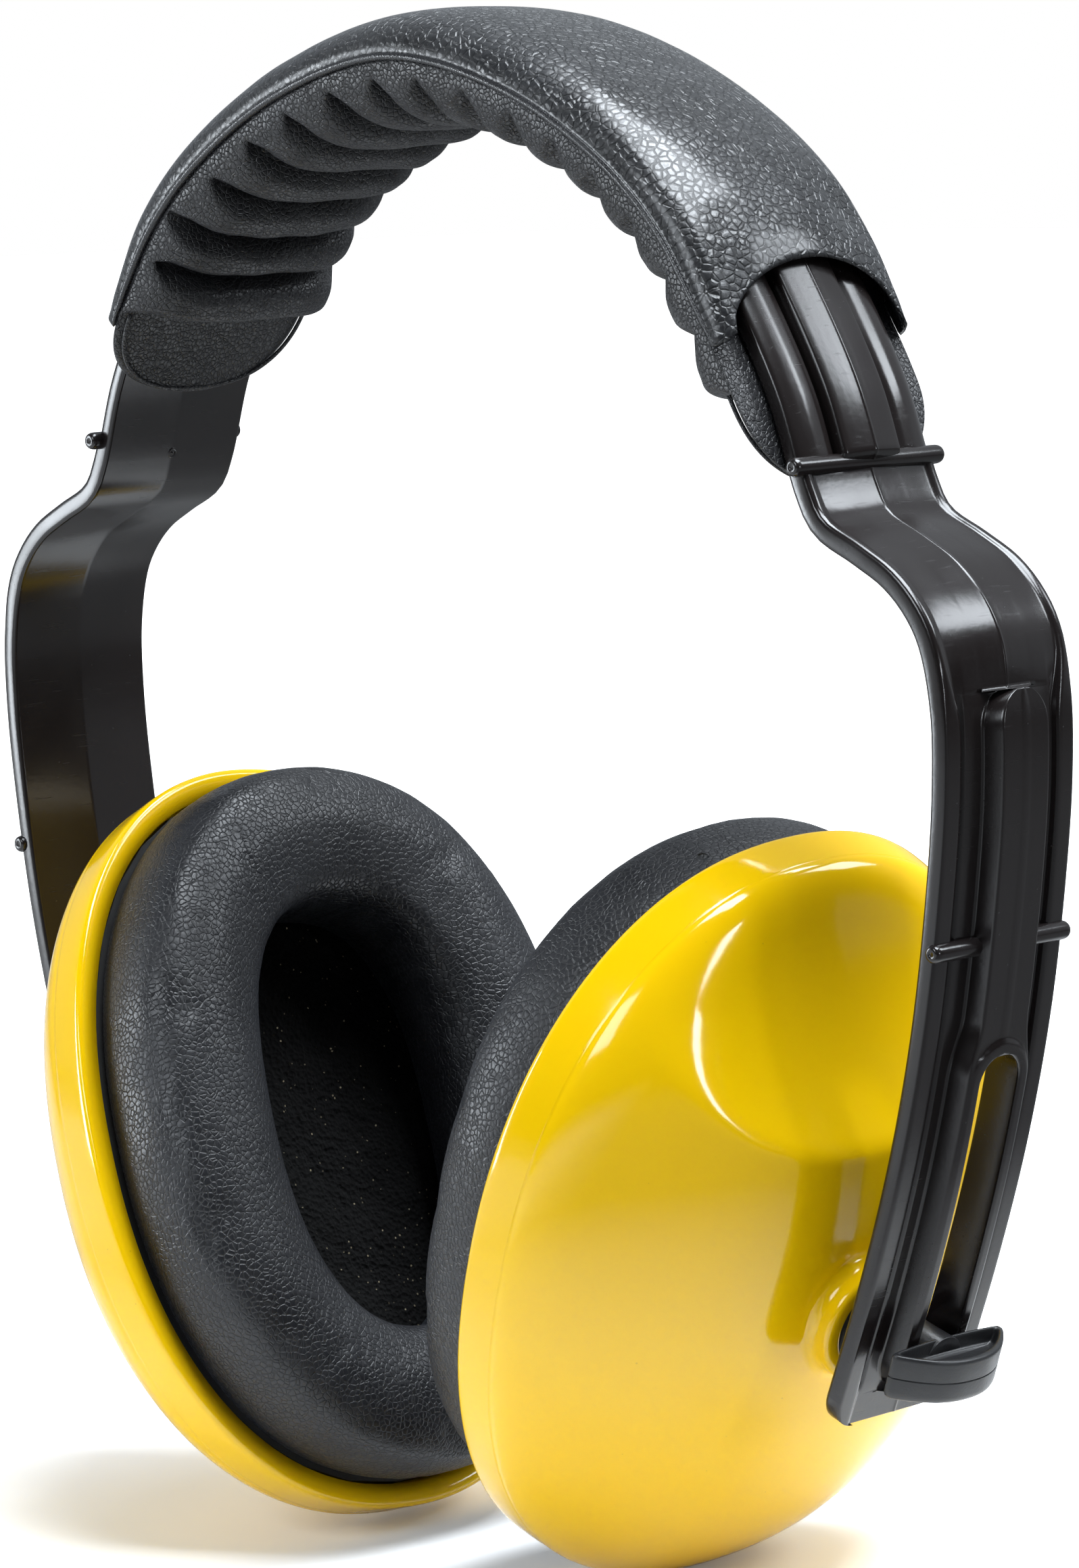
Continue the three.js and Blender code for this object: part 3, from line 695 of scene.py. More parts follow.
def strap_half_section(s):
    """The closed half section at s as a ring of (across, raised), and the slot's half width."""
    slot = stadium_half(s, SLOT_TOP, SLOT_BOTTOM, SLOT_HALF_WIDTH)
    rib = stadium_half(s, RIB_START, SLOT_BOTTOM + SLOT_RIM, RIB_HALF_WIDTH)
    rim = SLOT_HALF_WIDTH + SLOT_RIM
    lower_end = stadium_half(s, 0, SLOT_BOTTOM + SLOT_RIM, rim)
    if s > SLOT_TOP - 8:
        widened = ramp(s, SLOT_TOP - 5, SLOT_TOP + 3)
        rib = min(lower_end, RIB_HALF_WIDTH + (rim - RIB_HALF_WIDTH) * widened)
    bare = ramp(s, COVERED_TO, BARE_FROM)
    covered = 1 - bare
    upper = bare * (1 - ramp(s, UPPER_BAR - 0.8, UPPER_BAR + 0.8))
    lower = ramp(s, RIB_START - 6, RIB_START + 5)
    to_end = STRAP.end - s
    face = np.array(PLAIN_FACE, float)
    face[:, 1] *= 1 - covered
    face += upper * (np.array(UPPER_FACE) - face) + lower * (np.array(LOWER_FACE) - face)
    groove = ramp(to_end, 5, 6.5)
    face[GROOVE, 1] = face[GROOVE, 1] * groove + face[GROOVE - 1, 1] * (1 - groove)
    corner = max(0, ARM_CORNER - to_end)
    width = STRAP_HALF_WIDTH - ARM_CORNER + math.sqrt(max(0, ARM_CORNER**2 - corner**2))
    if rib > 0:
        face[:RIB_COLUMNS, 0] = slot + (rib - slot) * np.linspace(0, 1, RIB_COLUMNS) ** 0.9
        face[:RIB_COLUMNS, 1] = RIB_HEIGHT + rim_lift(s, face[:RIB_COLUMNS, 0])
        face[RIB_COLUMNS, 0] = rib + FOOT
    if slot == 0:
        face[0, 1] += SEAM_HEIGHT * (1 - covered)
    face[:, 0] = np.minimum(face[:, 0], width)
    wall_round = min(0.4, slot)
    under = -STRAP_THICKNESS - (0 if slot else SEAM_HEIGHT * (1 - covered))
    outline = [(slot, under), *face, (width, -STRAP_THICKNESS), (slot + 0.4, -STRAP_THICKNESS)]
    ring = soften(outline, [wall_round, wall_round, *FACE_RADII[1:], 0.6, 0])
    inset = EDGE_ROUND - math.sqrt(max(0, EDGE_ROUND**2 - max(0, EDGE_ROUND - to_end) ** 2))
    ring[:, 1] = np.clip(ring[:, 1], -STRAP_THICKNESS - SEAM_HEIGHT + inset, RIM_HEIGHT - inset)
    return ring, slot


def strap_stations():
    """Distances from the crown where the strap's shape is sampled, closer together at details."""
    turns = np.linspace(0, 1, 9)
    round_end = 1 - np.cos(turns * np.pi / 2)
    spans = [
        np.arange(0, COVERED_TO, 4), np.arange(COVERED_TO, UPPER_BAR - 2, 2),
        np.linspace(UPPER_BAR - 2, UPPER_BAR + 2, 9), np.arange(UPPER_BAR + 2.5, RIB_START - 4, 1.5),
        np.linspace(RIB_START - 4, RIB_START, 8), RIB_START + RIB_HALF_WIDTH * round_end,
        np.arange(RIB_START + 5, SLOT_TOP - 6, 2), np.arange(SLOT_TOP - 6, SLOT_TOP, 0.4),
        SLOT_TOP + SLOT_HALF_WIDTH * round_end,
        np.arange(SLOT_TOP + SLOT_HALF_WIDTH, SLOT_BOTTOM - 7, 2),
        SLOT_BOTTOM + SLOT_RIM - (SLOT_HALF_WIDTH + SLOT_RIM) * round_end,
        SLOT_BOTTOM - SLOT_HALF_WIDTH * round_end,
        [SLOT_BOTTOM + SLOT_RIM + 0.3],
        STRAP.end - ARM_CORNER * (1 - np.sin(turns * np.pi / 2)),
        STRAP.end - np.linspace(EDGE_ROUND, 0, 5),
    ]
    places = np.unique(np.round(np.concatenate(spans), 3))
    return places[np.concatenate([[True], np.diff(places) > 0.04])]


def strap_side(sign_along, sign_across):
    """One quarter of the strap: one arm, one side of the middle line."""
    stations = strap_stations()
    sections = [strap_half_section(s) for s in stations]
    count = len(sections[0][0])
    rings = [
        STRAP.at(sign_along * s, ring[:, 1], sign_across * ring[:, 0])
        for s, (ring, _) in zip(stations, sections)
    ]
    wall = 3            # the ring's segment that lies on the middle line, or on the slot's wall
    solid = [slot == 0 for _, slot in sections]
    faces = []
    for index, face in enumerate(grid_faces(len(rings), count, close_columns=True)):
        i, j = divmod(index, count)
        if j != wall or not (solid[i] and solid[i + 1]):
            faces.append(face)
    last = (len(rings) - 1) * count
    faces.append(tuple(range(last, last + count)))
    return np.vstack(rings), faces


def crossbar(s, length):
    """A round bar across the strap, with softly rounded ends."""
    end = length / 2
    outline = [(0.01, -end), (BAR_RADIUS, -end), (BAR_RADIUS, end), (0.01, end)]
    profile = soften(outline, [0, BAR_END_ROUND, BAR_END_ROUND, 0], 6)
    centre = STRAP.at(s, -0.1, 0)
    return lathe(profile, Axes(centre, (0, 1, 0), (0, 0, 1)), 28)


def gate_mark(sign):
    """The little round mark that the mould's gate leaves on the strap's inner face."""
    profile = [
        (0.02, 0.3), (0.16, 0.28), (0.24, 0.02), (0.45, 0),
        (0.62, 0.16), (0.8, 0.1), (0.86, -0.2), (0.02, -0.2),
    ]
    centre = STRAP.at(sign * GATE_AT, -STRAP_THICKNESS, 0)
    inward = STRAP.at(sign * GATE_AT, -STRAP_THICKNESS - 1, 0) - centre
    return lathe(profile, Axes(centre, inward, (0, 1, 0)), 20)


def headband_strap():
    """The moulded strap in one piece, and its four crossbars."""
    quarters = [strap_side(a, b) for a in (-1, 1) for b in (-1, 1)]
    body = merge(*quarters, gate_mark(1), gate_mark(-1))
    piece("headband_strap", body, "headband", BLACK_PLASTIC, ["headband"])
    for name, s, length in (("upper", UPPER_BAR, UPPER_BAR_LENGTH), ("mid", MID_BAR, MID_BAR_LENGTH)):
        for side, sign in SIDES:
            bar = crossbar(sign * s, length)
            piece(f"{side}_{name}_bar", bar, "headband", BLACK_PLASTIC)


# ---- headband cover
def cover_reach(across):
    """How far the cover reaches along the strap: a hollow arch between two tips."""
    t = np.minimum(1, np.abs(across) / (COVER_HALF_WIDTH - 2))
    return COVER_TIP - (COVER_TIP - COVER_ARCH) * np.sqrt(1 - t**2)


def cover_layer(half_width, height, columns, power):
    """(across, raised) over the cover's arched section from one edge to the other."""
    across = half_width * np.sin(np.linspace(-np.pi / 2, np.pi / 2, columns))
    raised = height * (1 - np.abs(across / half_width) ** power) ** (1 / power) - STRAP_THICKNESS
    return across, raised


def headband_cover():
    """The leatherette sheet over the strap, its rolled lip, and slight sags and creases."""
    columns = 61
    rows = 181
    is_outer = np.repeat([1, 0], columns)
    rings = []
    for t in np.linspace(-1, 1, rows):
        power = COVER_POWER - 0.7 * ramp(abs(t), 0.75, 1)
        outer = cover_layer(COVER_HALF_WIDTH, COVER_HEIGHT, columns, power)
        inner = cover_layer(COVER_HALF_WIDTH - COVER_SKIN, COVER_HEIGHT - COVER_SKIN, columns, power)
        across = np.concatenate([outer[0], inner[0][::-1]])
        raised = np.concatenate([outer[1], inner[1][::-1]])
        along = COVER_SHIFT + t * cover_reach(across)
        lip = -0.3 * ramp(abs(t), 0.95, 1) * is_outer
        points = STRAP.at(along, raised, across) - STRAP.origin
        sag = 0.4 * bump_noise(points, 24, 3) + 0.14 * bump_noise(points * (1, 0.5, 1), 6, 4)
        crease = ramp(abs(t), 0.72, 0.98) * 0.25 * bump_noise(points * (1, 1, 0.5), 5, 5)
        pinch_along = (along - PINCH_AT[0]) / PINCH_SIZE[0]
        pinch_across = (across - PINCH_AT[1]) / PINCH_SIZE[1]
        pinch = PINCH_DEPTH * np.exp(-pinch_along**2 - pinch_across**2)
        free = np.cos(across / 14)
        rings.append(STRAP.at(along, raised + lip - pinch + (sag + crease) * free, across))
    return cover_body(rings, columns)


def cover_body(rings, columns):
    """Joins the sheet's two layers at their ends with rounded lips."""
    rings = np.asarray(rings)
    count = rings.shape[1]
    vertices = rings.reshape(-1, 3)
    faces = grid_faces(len(rings), count, False, True)
    for row, ring in ((0, rings[0]), (len(rings) - 1, rings[-1])):
        outer, inner = ring[:columns], ring[columns:][::-1]
        away = ring - rings[1 if row == 0 else row - 1]
        direction = away / np.linalg.norm(away, axis=1)[:, None]
        bulge = (outer + inner) / 2 + direction[:columns] * COVER_SKIN * 0.45
        first = len(vertices)
        vertices = np.vstack([vertices, bulge])
        base = row * count
        for j in range(columns - 1):
            a, b = base + j, base + j + 1
            c, d = base + 2 * columns - 1 - j, base + 2 * columns - 2 - j
            m, n = first + j, first + j + 1
            faces += [(a, b, n, m), (m, n, d, c)]
        faces.append((base, first, base + 2 * columns - 1))
        faces.append((base + columns - 1, base + columns, first + columns - 1))
    return vertices, faces


def piping(sign):
    """The thin welded bead that joins cover and pad along one edge."""
    turn = full_turn(12)
    rings = []
    for s in np.linspace(-COVER_TIP, COVER_TIP, 160):
        shrink = math.sqrt(max(0.03, 1 - (abs(s) / COVER_TIP) ** 16))
        raised = PAD_TOP + 0.35 + PIPING_RADIUS * shrink * np.sin(turn)
        across = sign * (COVER_HALF_WIDTH - 0.25 + PIPING_RADIUS * shrink * np.cos(turn))
        rings.append(STRAP.at(COVER_SHIFT + s, raised, across))
    return loft(rings)


# ---- headband pad
def pad_half_width(s):
    """The tongue beyond the last rib is a rounded D."""
    t = np.clip((s - PAD_END) / (TONGUE_END - PAD_END), 0, 1)
    return PAD_HALF_WIDTH * (1 - 0.985 * t**TONGUE_POWER) ** (1 / TONGUE_POWER)


def pad_stations():
    """Distances from the pad's middle, closer together at its ends."""
    half = np.concatenate([
        np.arange(0, PAD_END - 4, 0.55), np.arange(PAD_END - 4, PAD_END + 0.5, 0.3),
        np.linspace(PAD_END + 0.5, TONGUE_END, 26),
    ])
    return np.concatenate([-half[:0:-1], half])


def pad_depths(distance, t, points):
    """How deep the pad is at one station, at places t from -1 to 1 across it."""
    s = abs(distance)
    wander = 0.9 * bump_noise(points, 16, 11) + 0.35 * bump_noise(points, 5, 12)
    u = (distance + wander + PAD_END) * PAD_RIBS / (2 * PAD_END)
    index = np.floor(u)
    rib = 2 * (u - index) - 1
    uneven = 1 + 0.12 * np.sin(index * 2.4) + 0.06 * np.cos(index * 5.1)
    pillow = (1 - np.abs(rib) ** 3) ** 0.62
    pleat = np.exp(-((distance + PLEAT_AT) / PLEAT_SIZE) ** 2)
    reach = 1 - ramp(np.abs(t), 0.86 + 0.06 * pleat, 1 + 0.03 * pleat)
    edge_crease = 0.9 * ramp(np.abs(t), 0.5, 0.8) * (0.5 + pleat)
    drop = (PAD_GROOVE * reach + edge_crease + 1.5 * pleat * reach) * (1 - pillow) * uneven
    swell = PAD_DEPTH * (1 - np.abs(t) ** 5) ** (1 / 2.2) * (1 - 0.12 * t**2)
    swell = swell + 0.35 * bump_noise(points, 9, 13) * reach
    body = np.maximum(swell - drop * ramp(swell, 0, 3), 0)
    end = math.sqrt(1 - np.clip((s - PAD_END + 3.2) / 3.4, 0, 1) ** 2)
    tongue = TONGUE_THICKNESS * (1 - np.abs(t) ** 8) ** 0.5
    depth = np.maximum(tongue, body * end)
    wrinkle = 0.16 * bump_noise(points * (1, 0.35, 1), 1.6, 14) * ramp(depth, 1, 4)
    return depth - wrinkle


def headband_pad():
    """A sewn row of pillow ribs across the strap, with deep grooves that end at its side walls."""
    t = np.sin(np.linspace(-1, 1, 65) * np.pi / 2)
    rings = []
    for distance in pad_stations():
        along = PAD_SHIFT + distance
        across = t * pad_half_width(abs(distance))
        points = STRAP.at(along, PAD_TOP - 6, across) - STRAP.origin
        bottom = STRAP.at(along, PAD_TOP - pad_depths(distance, t, points), across)
        top = STRAP.at(along, PAD_TOP + 0.02, across[::-1] * 0.995)
        rings.append(np.vstack([bottom, top[::4]]))
    return loft(rings)


def tongue_piping(sign):
    """The thin raised line round the edge of the pad's tongue."""
    turn = full_turn(8)
    rings = []
    for angle in np.linspace(-1, 1, 80) * np.pi / 2:
        s = PAD_END + (TONGUE_END - 0.6 - PAD_END) * abs(math.cos(angle)) ** (2 / TONGUE_POWER)
        share = np.sign(angle) * abs(math.sin(angle)) ** (2 / TONGUE_POWER)
        along = PAD_SHIFT + sign * s
        across = (PAD_HALF_WIDTH - 0.8) * share
        centre = STRAP.at(along, PAD_TOP - TONGUE_THICKNESS + 0.05, across)
        normal = STRAP.at(along, PAD_TOP, across) - STRAP.at(along, PAD_TOP - 1, across)
        inward = STRAP.at(PAD_SHIFT + sign * PAD_END, PAD_TOP - TONGUE_THICKNESS, 0) - centre
        inward = inward / np.linalg.norm(inward)
        rings.append(centre + 0.3 * (np.cos(turn)[:, None] * inward + np.sin(turn)[:, None] * normal))
    return loft(rings)


# ---- cup pieces
TURN = full_turn(220)


def dome_height(y, z):
    """The dome's outer height over the flange plane, hollowed by the dish above the boss."""
    a, b = CUP_A - CUP_DRAFT, CUP_B - CUP_DRAFT
    r = (np.abs(y) / a) ** OVAL_POWER + (np.abs(z) / b) ** OVAL_POWER
    dome = CUP_WALL_HEIGHT + (CUP_DEPTH - CUP_WALL_HEIGHT) * np.maximum(0, 1 - r) ** DOME_POWER
    inside = 1 - (y / DISH_RADIUS_Y) ** 2 - ((z - DISH_CENTRE[1]) / DISH_RADIUS) ** 2
    dish = DISH_CENTRE[0] - DISH_RADIUS * np.sqrt(np.maximum(0, inside))
    blend = DISH_BLEND + (DISH_BLEND_TOP - DISH_BLEND) * ramp(z, *DISH_BLEND_RISE)
    h = np.clip(0.5 + 0.5 * (dish - dome) / blend, 0, 1)
    return dish * (1 - h) + dome * h - blend * h * (1 - h)


def height_over(inset, drop):
    """The dome's height at a point of a smaller oval, taken where the full-size oval has it."""
    grow_y, grow_z = CUP_A / (CUP_A - inset), CUP_B / (CUP_B - inset)
    return lambda y, z: dome_height(y * grow_y, z * grow_z) - drop


def ring_at(y, z, x):
    """A ring of (x, y, z) about the flange's middle; x is a number or a function of y and z."""
    height = x(y, z) if callable(x) else np.full_like(y, x)
    return np.stack([height, y, z], axis=1)


def cup_ring(a, b, x):
    """An oval ring."""
    return ring_at(*oval(a, b, TURN), x)


def round_ring(radius, x):
    """A round ring about the ball's axis."""
    return ring_at(radius * np.cos(TURN), radius * np.sin(TURN) - BALL_BELOW_CENTRE, x)


def between(ring_a, ring_b, t, x):
    """A ring between two others in plan."""
    y, z = ((1 - t) * ring_a[:, k] + t * ring_b[:, k] for k in (1, 2))
    return ring_at(y, z, x)


def cup_shell():
    """Lip, wall, soft shoulder, dome with its dish, and the boss that holds the ball joint."""
    lip = soften(
        [(LIP_WIDTH, 0), (0, 0), (0.1, 2), (CUP_DRAFT, CUP_WALL_HEIGHT - 0.5)],
        [0, 1.0, 0.5, 0.2], 4,
    )[5:-2]
    rings = [cup_ring(CUP_A - inset, CUP_B - inset, x) for inset, x in lip]
    a, b = CUP_A - CUP_DRAFT, CUP_B - CUP_DRAFT
    for h in np.linspace(0, 0.72, 30):
        t = (1 - h ** (1 / DOME_POWER)) ** (1 / OVAL_POWER)
        rings.append(cup_ring(a * t, b * t, dome_height))
    outer = rings[-1]
    root = round_ring(BOSS_RADIUS + BOSS_FILLET, dome_height)
    for t in np.linspace(1, 0, 40)[1:]:
        rings.append(between(root, outer, t, dome_height))
    top = CUP_DEPTH + BOSS_TOP
    for turn in np.linspace(0, np.pi / 2, 6)[1:]:
        radius = BOSS_RADIUS + BOSS_FILLET * (1 - math.sin(turn))
        rise = BOSS_FILLET * (1 - math.cos(turn))
        rings.append(round_ring(radius, lambda y, z, rise=rise: dome_height(y, z) + rise))
    mouth = math.sqrt(SOCKET_RADIUS**2 - BOSS_TOP**2)
    rim = soften([(BOSS_RADIUS, top - 2), (BOSS_RADIUS, top), (mouth, top), (mouth + 0.2, top - 1.2)],
                 [0.1, 1.3, 0.8, 0.1], 5)[5:-5]
    rings += [round_ring(radius, x) for radius, x in rim]
    for angle in np.linspace(0.32, 0, 5):
        x = CUP_DEPTH + SOCKET_RADIUS * math.sin(angle)
        rings.append(round_ring(SOCKET_RADIUS * math.cos(angle), x))
    back = CUP_DEPTH + BOSS_BACK
    rings += [round_ring(SOCKET_RADIUS, back), round_ring(BOSS_RADIUS, back)]
    under = height_over(0, CUP_SKIN)
    inner_root = round_ring(BOSS_RADIUS, under)
    inset = LIP_WIDTH + 1.7
    inner_outer = cup_ring((CUP_A - inset) * 0.75, (CUP_B - inset) * 0.75, under)
    for t in np.linspace(0, 1, 12):
        rings.append(between(inner_root, inner_outer, t, under))
    for t in (0.85, 0.93, 0.98):
        rings.append(cup_ring((CUP_A - inset) * t, (CUP_B - inset) * t, height_over(inset, CUP_SKIN)))
    for step, x in ((inset, 3.4), (LIP_WIDTH, 3.2), (LIP_WIDTH, 0.5)):
        rings.append(cup_ring(CUP_A - step, CUP_B - step, x))
    return loft(rings, closed=True)


def cushion_body(seed):
    """The ear cushion: a stuffed ring with bulging sides, a rounded crown and fine creases."""
    outer = LIP_WIDTH + GAP
    turn = full_turn(200)
    outside = np.stack(oval(CUP_A - outer, CUP_B - outer, turn), axis=1)
    hole = np.stack(oval(HOLE_A, HOLE_B, turn, HOLE_POWER), axis=1)
    depth = CUSHION_DEPTH
    profile = soften(
        [(0.05, 0.9), (-0.02, -2.5), (-0.03, -8), (0.04, -depth + 1.2), (0.3, -depth + 0.2),
         (0.62, -depth + 0.2), (0.9, -depth + 1.4), (1.01, -depth + 4.5), (0.99, -7), (1.0, 0.9),
         (0.9, 0.9), (0.15, 0.9)],
        [0.3, 2, 3.2, 4, 3, 3, 3, 2.5, 3, 0.1, 0.1, 0.1], 5,
    )
    rings = []
    for share, x in profile:
        y, z = (outside * (1 - share) + hole * share).T
        rings.append(ring_at(y, z, x))
    vertices, faces = loft(np.array(rings), closed=True)
    held = 1 - ramp(-vertices[:, 0], 0.2, 2.5)
    vertices, _ = puffed((vertices, faces), held, PUFF_PRESSURE, PUFF_CAP)
    rings = vertices.reshape(len(profile), -1, 3)
    out = rings - rings.mean(axis=0, keepdims=True)
    out = out / np.linalg.norm(out, axis=2, keepdims=True)
    free = ramp(-rings[:, :, 0], 0.3, 4)
    side = 1 - ramp(-rings[:, :, 0], 10, 14)
    swell = 0.25 * bump_noise(rings, 19, seed)
    crease = 0.12 * bump_noise(rings * (0.3, 1, 1), 2.4, seed + 1) * side
    rings = rings + out * (free * (swell + crease))[..., None]
    return loft(rings, closed=True)


def acoustic_foam_body(seed):
    """The sound-absorbing foam in the cup, its torn open-cell face seen through the cushion."""
    inset = LIP_WIDTH + FOAM_INSET
    a, b = CUP_A - inset, CUP_B - inset
    rings = []
    for t in np.linspace(0.02, 0.96, 64):
        y, z = oval(a * t, b * t, TURN)
        points = ring_at(y, z, 0)
        rough = 0.35 * bump_noise(points, 1.1, seed) + 0.5 * bump_noise(points, 6, seed + 1)
        x = FOAM_FRONT - 2 + 2 * (1 - t) + rough * ramp(t, 1.0, 0.9)
        rings.append(ring_at(y, z, x))
    back_limit = CUP_DEPTH + BOSS_BACK - 1
    back_face = height_over(inset, CUP_SKIN + 2 * GAP)
    for t in (0.96, 0.86, 0.7, 0.5, 0.25):
        y, z = oval(a * t, b * t, TURN)
        x = np.minimum(back_face(y, z), back_limit)
        rings.append(ring_at(y, z, x))
    return loft(rings)


def arc_profile(radius, low, high, count):
    """(radius, x) points on a ball of the given radius between two heights."""
    angle = np.linspace(math.asin(low / radius), math.asin(high / radius), count)
    return [(radius * math.cos(t), radius * math.sin(t)) for t in angle]


def hub_body(axes):
    """The ball, its neck and the collar that sits against the arm, bored for the stud."""
    neck_start = math.sqrt(BALL_RADIUS**2 - HUB_NECK_RADIUS**2)
    ball = arc_profile(BALL_RADIUS, -BALL_RADIUS + 0.02, neck_start, 18)
    collar = soften(
        [(HUB_NECK_RADIUS, HUB_COLLAR_BACK), (HUB_COLLAR_RADIUS, HUB_COLLAR_BACK),
         (HUB_COLLAR_RADIUS, HUB_TOP), (HUB_BORE, HUB_TOP)],
        [0.3, 0.35, 0.35, 0.2],
    )
    return lathe([*ball, *collar, (HUB_BORE, HUB_BORE_END), (NEAR_AXIS, HUB_BORE_END)], axes)


def ring_body(axes):
    """The ring between ball and socket, round inside and out."""
    outer = arc_profile(RING_OUTER, -RING_HALF_LENGTH, RING_HALF_LENGTH, 10)
    inner = arc_profile(RING_INNER, RING_HALF_LENGTH, -RING_HALF_LENGTH, 10)
    return lathe([*outer, *inner], axes)


def cap_body(axes):
    """The disc that closes the socket from inside the cup."""
    radius = SOCKET_RADIUS - GAP
    back, front = BOSS_BACK + 0.3, BOSS_BACK + 2
    outline = [(NEAR_AXIS, back), (radius, back), (radius, front), (NEAR_AXIS, front)]
    return lathe(soften(outline, [0, 0.3, 0.3, 0]), axes)


def knob_plan(count):
    """(x, y) round the thumb bar's bowed outline, starting from its back."""
    turn = full_turn(count)
    c, s = np.cos(turn), np.sin(turn)
    y = KNOB_HALF_LENGTH * np.sign(s) * np.abs(s) ** 0.8
    bow = 1 - (np.abs(y) / (KNOB_HALF_LENGTH + 0.6)) ** KNOB_BOW_POWER
    depth = KNOB_END_DEPTH + (KNOB_BULGE - KNOB_END_DEPTH) * bow
    x = KNOB_BACK + depth / 2 * (1 + np.abs(c) ** 0.55 * np.sign(c))
    return np.stack([x, y], axis=1)


def knob_body(axes):
    """The thumb bar: a bowed block with round edges, a moulding line and a dished top."""
    plan = knob_plan(96)
    centre = plan.mean(axis=0)
    half = np.array([KNOB_BULGE / 2, KNOB_HALF_LENGTH])
    h = KNOB_HEIGHT / 2
    profile = soften(
        [(2.2, -h), (0, -h), (0, -0.12), (0.14, 0), (0, 0.12), (0, h), (1.1, h), (1.8, h - 1.7),
         (2.6, h - 1.9)],
        [0, 1.1, 0.06, 0.06, 0.06, 0.6, 0.4, 0.6, 0.1], 5,
    )[5:-2]
    rings = []
    for inset, z in profile:
        flat = centre + (plan - centre) * (1 - inset / half * (0.72, 1))
        rings.append(np.column_stack([flat, np.full(len(flat), z)]))
    vertices, faces = loft(rings)
    return axes.place(vertices), faces


def neck_body(axes):
    """The slider's neck in the slot and the stud that enters the hub."""
    radius = SLOT_HALF_WIDTH - GAP
    shoulder, top = HUB_TOP + 0.4, KNOB_BACK + 1
    outline = [
        (NEAR_AXIS, -3), (STUD_RADIUS, -3), (STUD_RADIUS, shoulder), (radius, shoulder),
        (radius, top), (NEAR_AXIS, top),
    ]
    return lathe(soften(outline, [0, 0.3, 0.1, 0.3, 0.1, 0]), axes, 48)


def side_pieces(prefix, seed):
    """All the pieces of one arm's slider, ball joint and cup."""
    seal = next(m for m in frame["record"]["mounts"] if m["name"] == f"{prefix}_seal")
    ball = BALLS[prefix]
    arm = Axes(ball, JOINTS[f"{prefix}_swing"]["axis"], JOINTS[f"{prefix}_height"]["axis"])
    cup = Axes(ball, -np.array(seal["axis"]), JOINTS[f"{prefix}_turn"]["axis"])
    flange = Axes(cup.place((-CUP_DEPTH, 0, BALL_BELOW_CENTRE)), cup.basis[0], cup.basis[2])

    def on_flange(body):
        return flange.place(body[0]), body[1]

    def add(name, body, rides_on, material, node):
        piece(f"{prefix}_{name}", body, f"{prefix}_{rides_on}", material, [f"{prefix}_{node}"])

    knob = merge(knob_body(arm), neck_body(arm))
    add("slider_bar", knob, "slider", SLIDER_PLASTIC, "adjuster_slider")
    add("ball_hub", hub_body(arm), "hub", SLIDER_PLASTIC, "pivot_hub")
    add("ball_ring", ring_body(cup), "ring", NYLON, "socket_ring")
    add("ball_cap", cap_body(cup), "cup", NYLON, "socket_cap")
    add("shell", on_flange(cup_shell()), "cup", YELLOW_PLASTIC, "cup_shell")
    cushion = on_flange(cushion_body(seed))
    away = np.linalg.norm(cushion[0] - flange.place(VENT_PLACE), axis=1)
    skin = cushion_leather(prefix, cushion[0][away.argmin()])
    add("cushion", cushion, "cup", skin, "cushion_cover")
    liner = on_flange(acoustic_foam_body(seed + 5))
    add("foam_liner", liner, "cup", ACOUSTIC_FOAM, "acoustic_foam")


def carried_over(node, material):
    """Gives a CAD node that keeps its shape a procedural material."""
    mesh = frame["nodes"][node].data
    mesh.materials.clear()
    mesh.materials.append(material)


# ---- object
headband_strap()
piece("headband_sheet", headband_cover(), "headband", COVER_LEATHER,
      ["headband_cover"])
piece("headband_ribs", headband_pad(), "headband", PAD_LEATHER, ["headband_pad"])
for label, sign in (("front", -1), ("back", 1)):
    piece(f"{label}_piping", piping(sign), "headband", PIPING)
for label, sign in SIDES:
    piece(f"{label}_tongue_piping", tongue_piping(sign), "headband", PAD_LEATHER)
side_pieces("left", 21)
side_pieces("right", 41)
carried_over("pad_core", FOAM)
for label, _ in SIDES:
    carried_over(f"{label}_cushion_foam", FOAM)
    carried_over(f"{label}_cushion_plate", NYLON)


# ---- floor, light and camera
AZIMUTH = math.radians(45.3)
ELEVATION = math.radians(7.1)
ROLL = math.radians(-1.5)
CAMERA_DISTANCE = 740
CAMERA_LENS = 123.46
AIM_RIGHT = 5.3
AIM_HEIGHT = 64.95
LIGHT_COLOUR = (0.88, 0.94, 1.0)

# The floor's paint changes between these distances in metres: all round its middle for the
# first two, and along the camera's right for the last.
FLOOR_DIMS_M = (0.09, 0.18)
FLOOR_GLOWS_M = (0.06, 0.2)
FLOOR_SIDE_M = (-0.25, -0.05)

# Directions from the object: back is towards the camera, and level is level and to its right.
back = np.array([
    math.sin(AZIMUTH) * math.cos(ELEVATION),
    -math.cos(AZIMUTH) * math.cos(ELEVATION),
    math.sin(ELEVATION),
])
level = np.array([math.cos(AZIMUTH), math.sin(AZIMUTH), 0])
upright = np.cross(back, level)
right = level * math.cos(ROLL) + upright * math.sin(ROLL)
aim = BALL_MIDDLE + level * AIM_RIGHT + np.array([0, 0, AIM_HEIGHT])


def facing(location, target, x_axis=None):
    """A matrix that looks from location to target, both in millimetres."""
    away = Vector(location) - Vector(target)
    away.normalize()
    side = Vector(x_axis) if x_axis is not None else Vector((0, 0, 1)).cross(away).normalized()
    upward = away.cross(side)
    rows = Matrix((side, upward, away)).transposed()
    return Matrix.Translation(Vector(location) * MM) @ rows.to_4x4()


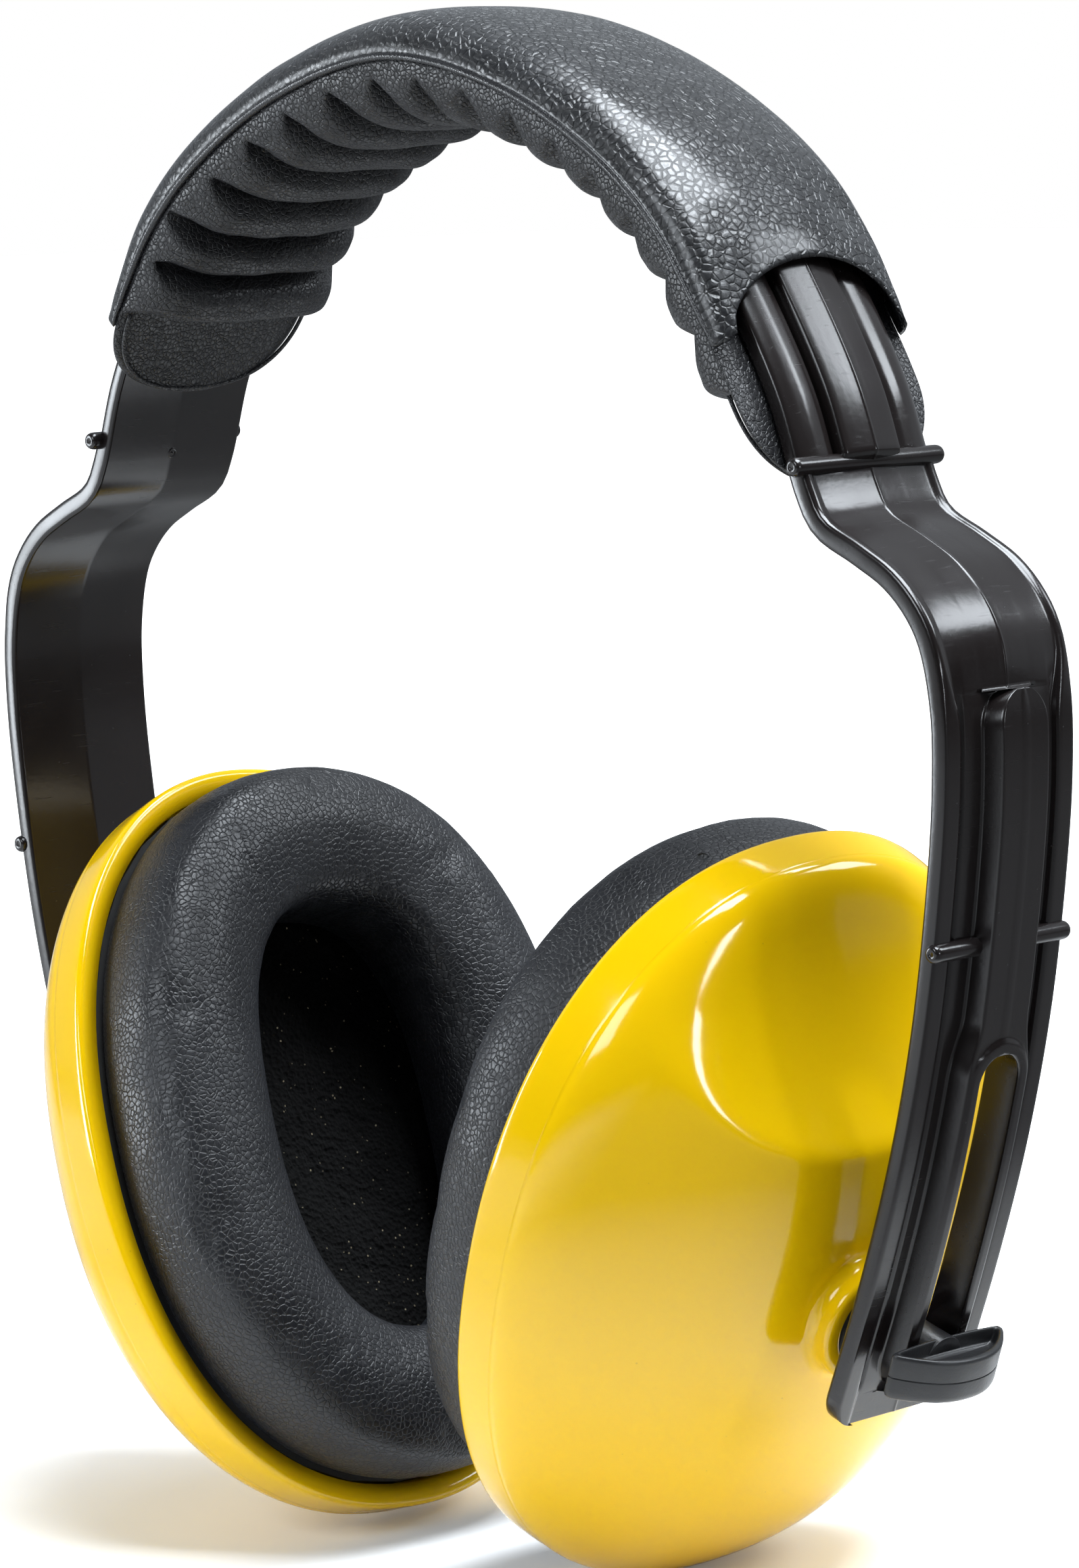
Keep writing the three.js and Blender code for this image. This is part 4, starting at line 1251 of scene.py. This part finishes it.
def camera():
    """The camera at the photograph's viewing angle."""
    data = bpy.data.cameras.new("camera")
    data.lens = CAMERA_LENS
    data.sensor_width = 36
    data.clip_start = 0.05
    obj = linked("camera", data)
    obj.matrix_world = facing(aim + back * CAMERA_DISTANCE, aim, right)
    bpy.context.scene.camera = obj


def light(name, kind, offset):
    """A light aimed at the object; offset is its place right of, above and towards the camera."""
    obj = linked(name, bpy.data.lights.new(name, kind))
    spot = aim + level * offset[0] + np.array([0, 0, offset[1]]) + back * (1, 1, 0) * offset[2]
    obj.matrix_world = facing(spot, aim)
    return obj


def softbox(name, offset, size, watts):
    """A rectangular area light."""
    data = light(name, "AREA", offset).data
    data.shape = "RECTANGLE"
    data.size = size[0] * MM
    data.size_y = size[1] * MM
    data.energy = watts
    data.color = LIGHT_COLOUR


def wide_light(name, offset, strength, angle):
    """Very soft light from far away that leaves no highlights."""
    obj = light(name, "SUN", offset)
    obj.visible_glossy = False
    obj.data.energy = strength
    obj.data.angle = math.radians(angle)


def floor():
    """A pale plane under the object."""
    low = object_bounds()[0][2]
    bpy.ops.mesh.primitive_plane_add(size=12, location=(0, 0, low))
    plane = bpy.context.object
    plane.name = "floor"
    plane.data.materials.append(floor_paint())
    plane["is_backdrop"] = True


def world():
    """White to the camera. To everything else, a studio that is dark around the camera."""
    owner = bpy.data.worlds.new("studio")
    bpy.context.scene.world = owner
    s = Shader(owner, "Generated")
    away = s.vector("DOT_PRODUCT", s.where, -back)["Value"]
    inputs = {"Value": away, "From Min": -0.1, "From Max": 0.2, "To Min": 0.03, "To Max": 0.45}
    strength = s.add("ShaderNodeMapRange", inputs, interpolation_type="SMOOTHSTEP").outputs["Result"]
    room = s.add("ShaderNodeBackground", {"Color": rgb(0.86, 0.93, 1.0), "Strength": strength})
    backdrop = s.add("ShaderNodeBackground", {"Color": rgb(1, 1, 1)})
    seen = s.add("ShaderNodeLightPath").outputs["Is Camera Ray"]
    mix = s.add("ShaderNodeMixShader", {0: seen, 1: room.outputs[0], 2: backdrop.outputs[0]})
    s.add("ShaderNodeOutputWorld", {"Surface": mix.outputs[0]})


camera()
world()
floor()
softbox("overhead", (250, 880, 80), (700, 550), 24)
softbox("key", (-600, 450, 600), (350, 350), 3.5)
softbox("window", (800, 600, -40), (260, 300), 3)
softbox("side window", (745, 165, 605), (100, 170), 1.1)
softbox("left window", (-850, 60, -100), (170, 420), 4)
wide_light("sky", (1, 900, 1), 0.25, 80)        # just off the vertical, where facing() has no side
wide_light("side", (750, 600, 0), 0.8, 50)
bpy.context.scene.view_settings.view_transform = "Standard"
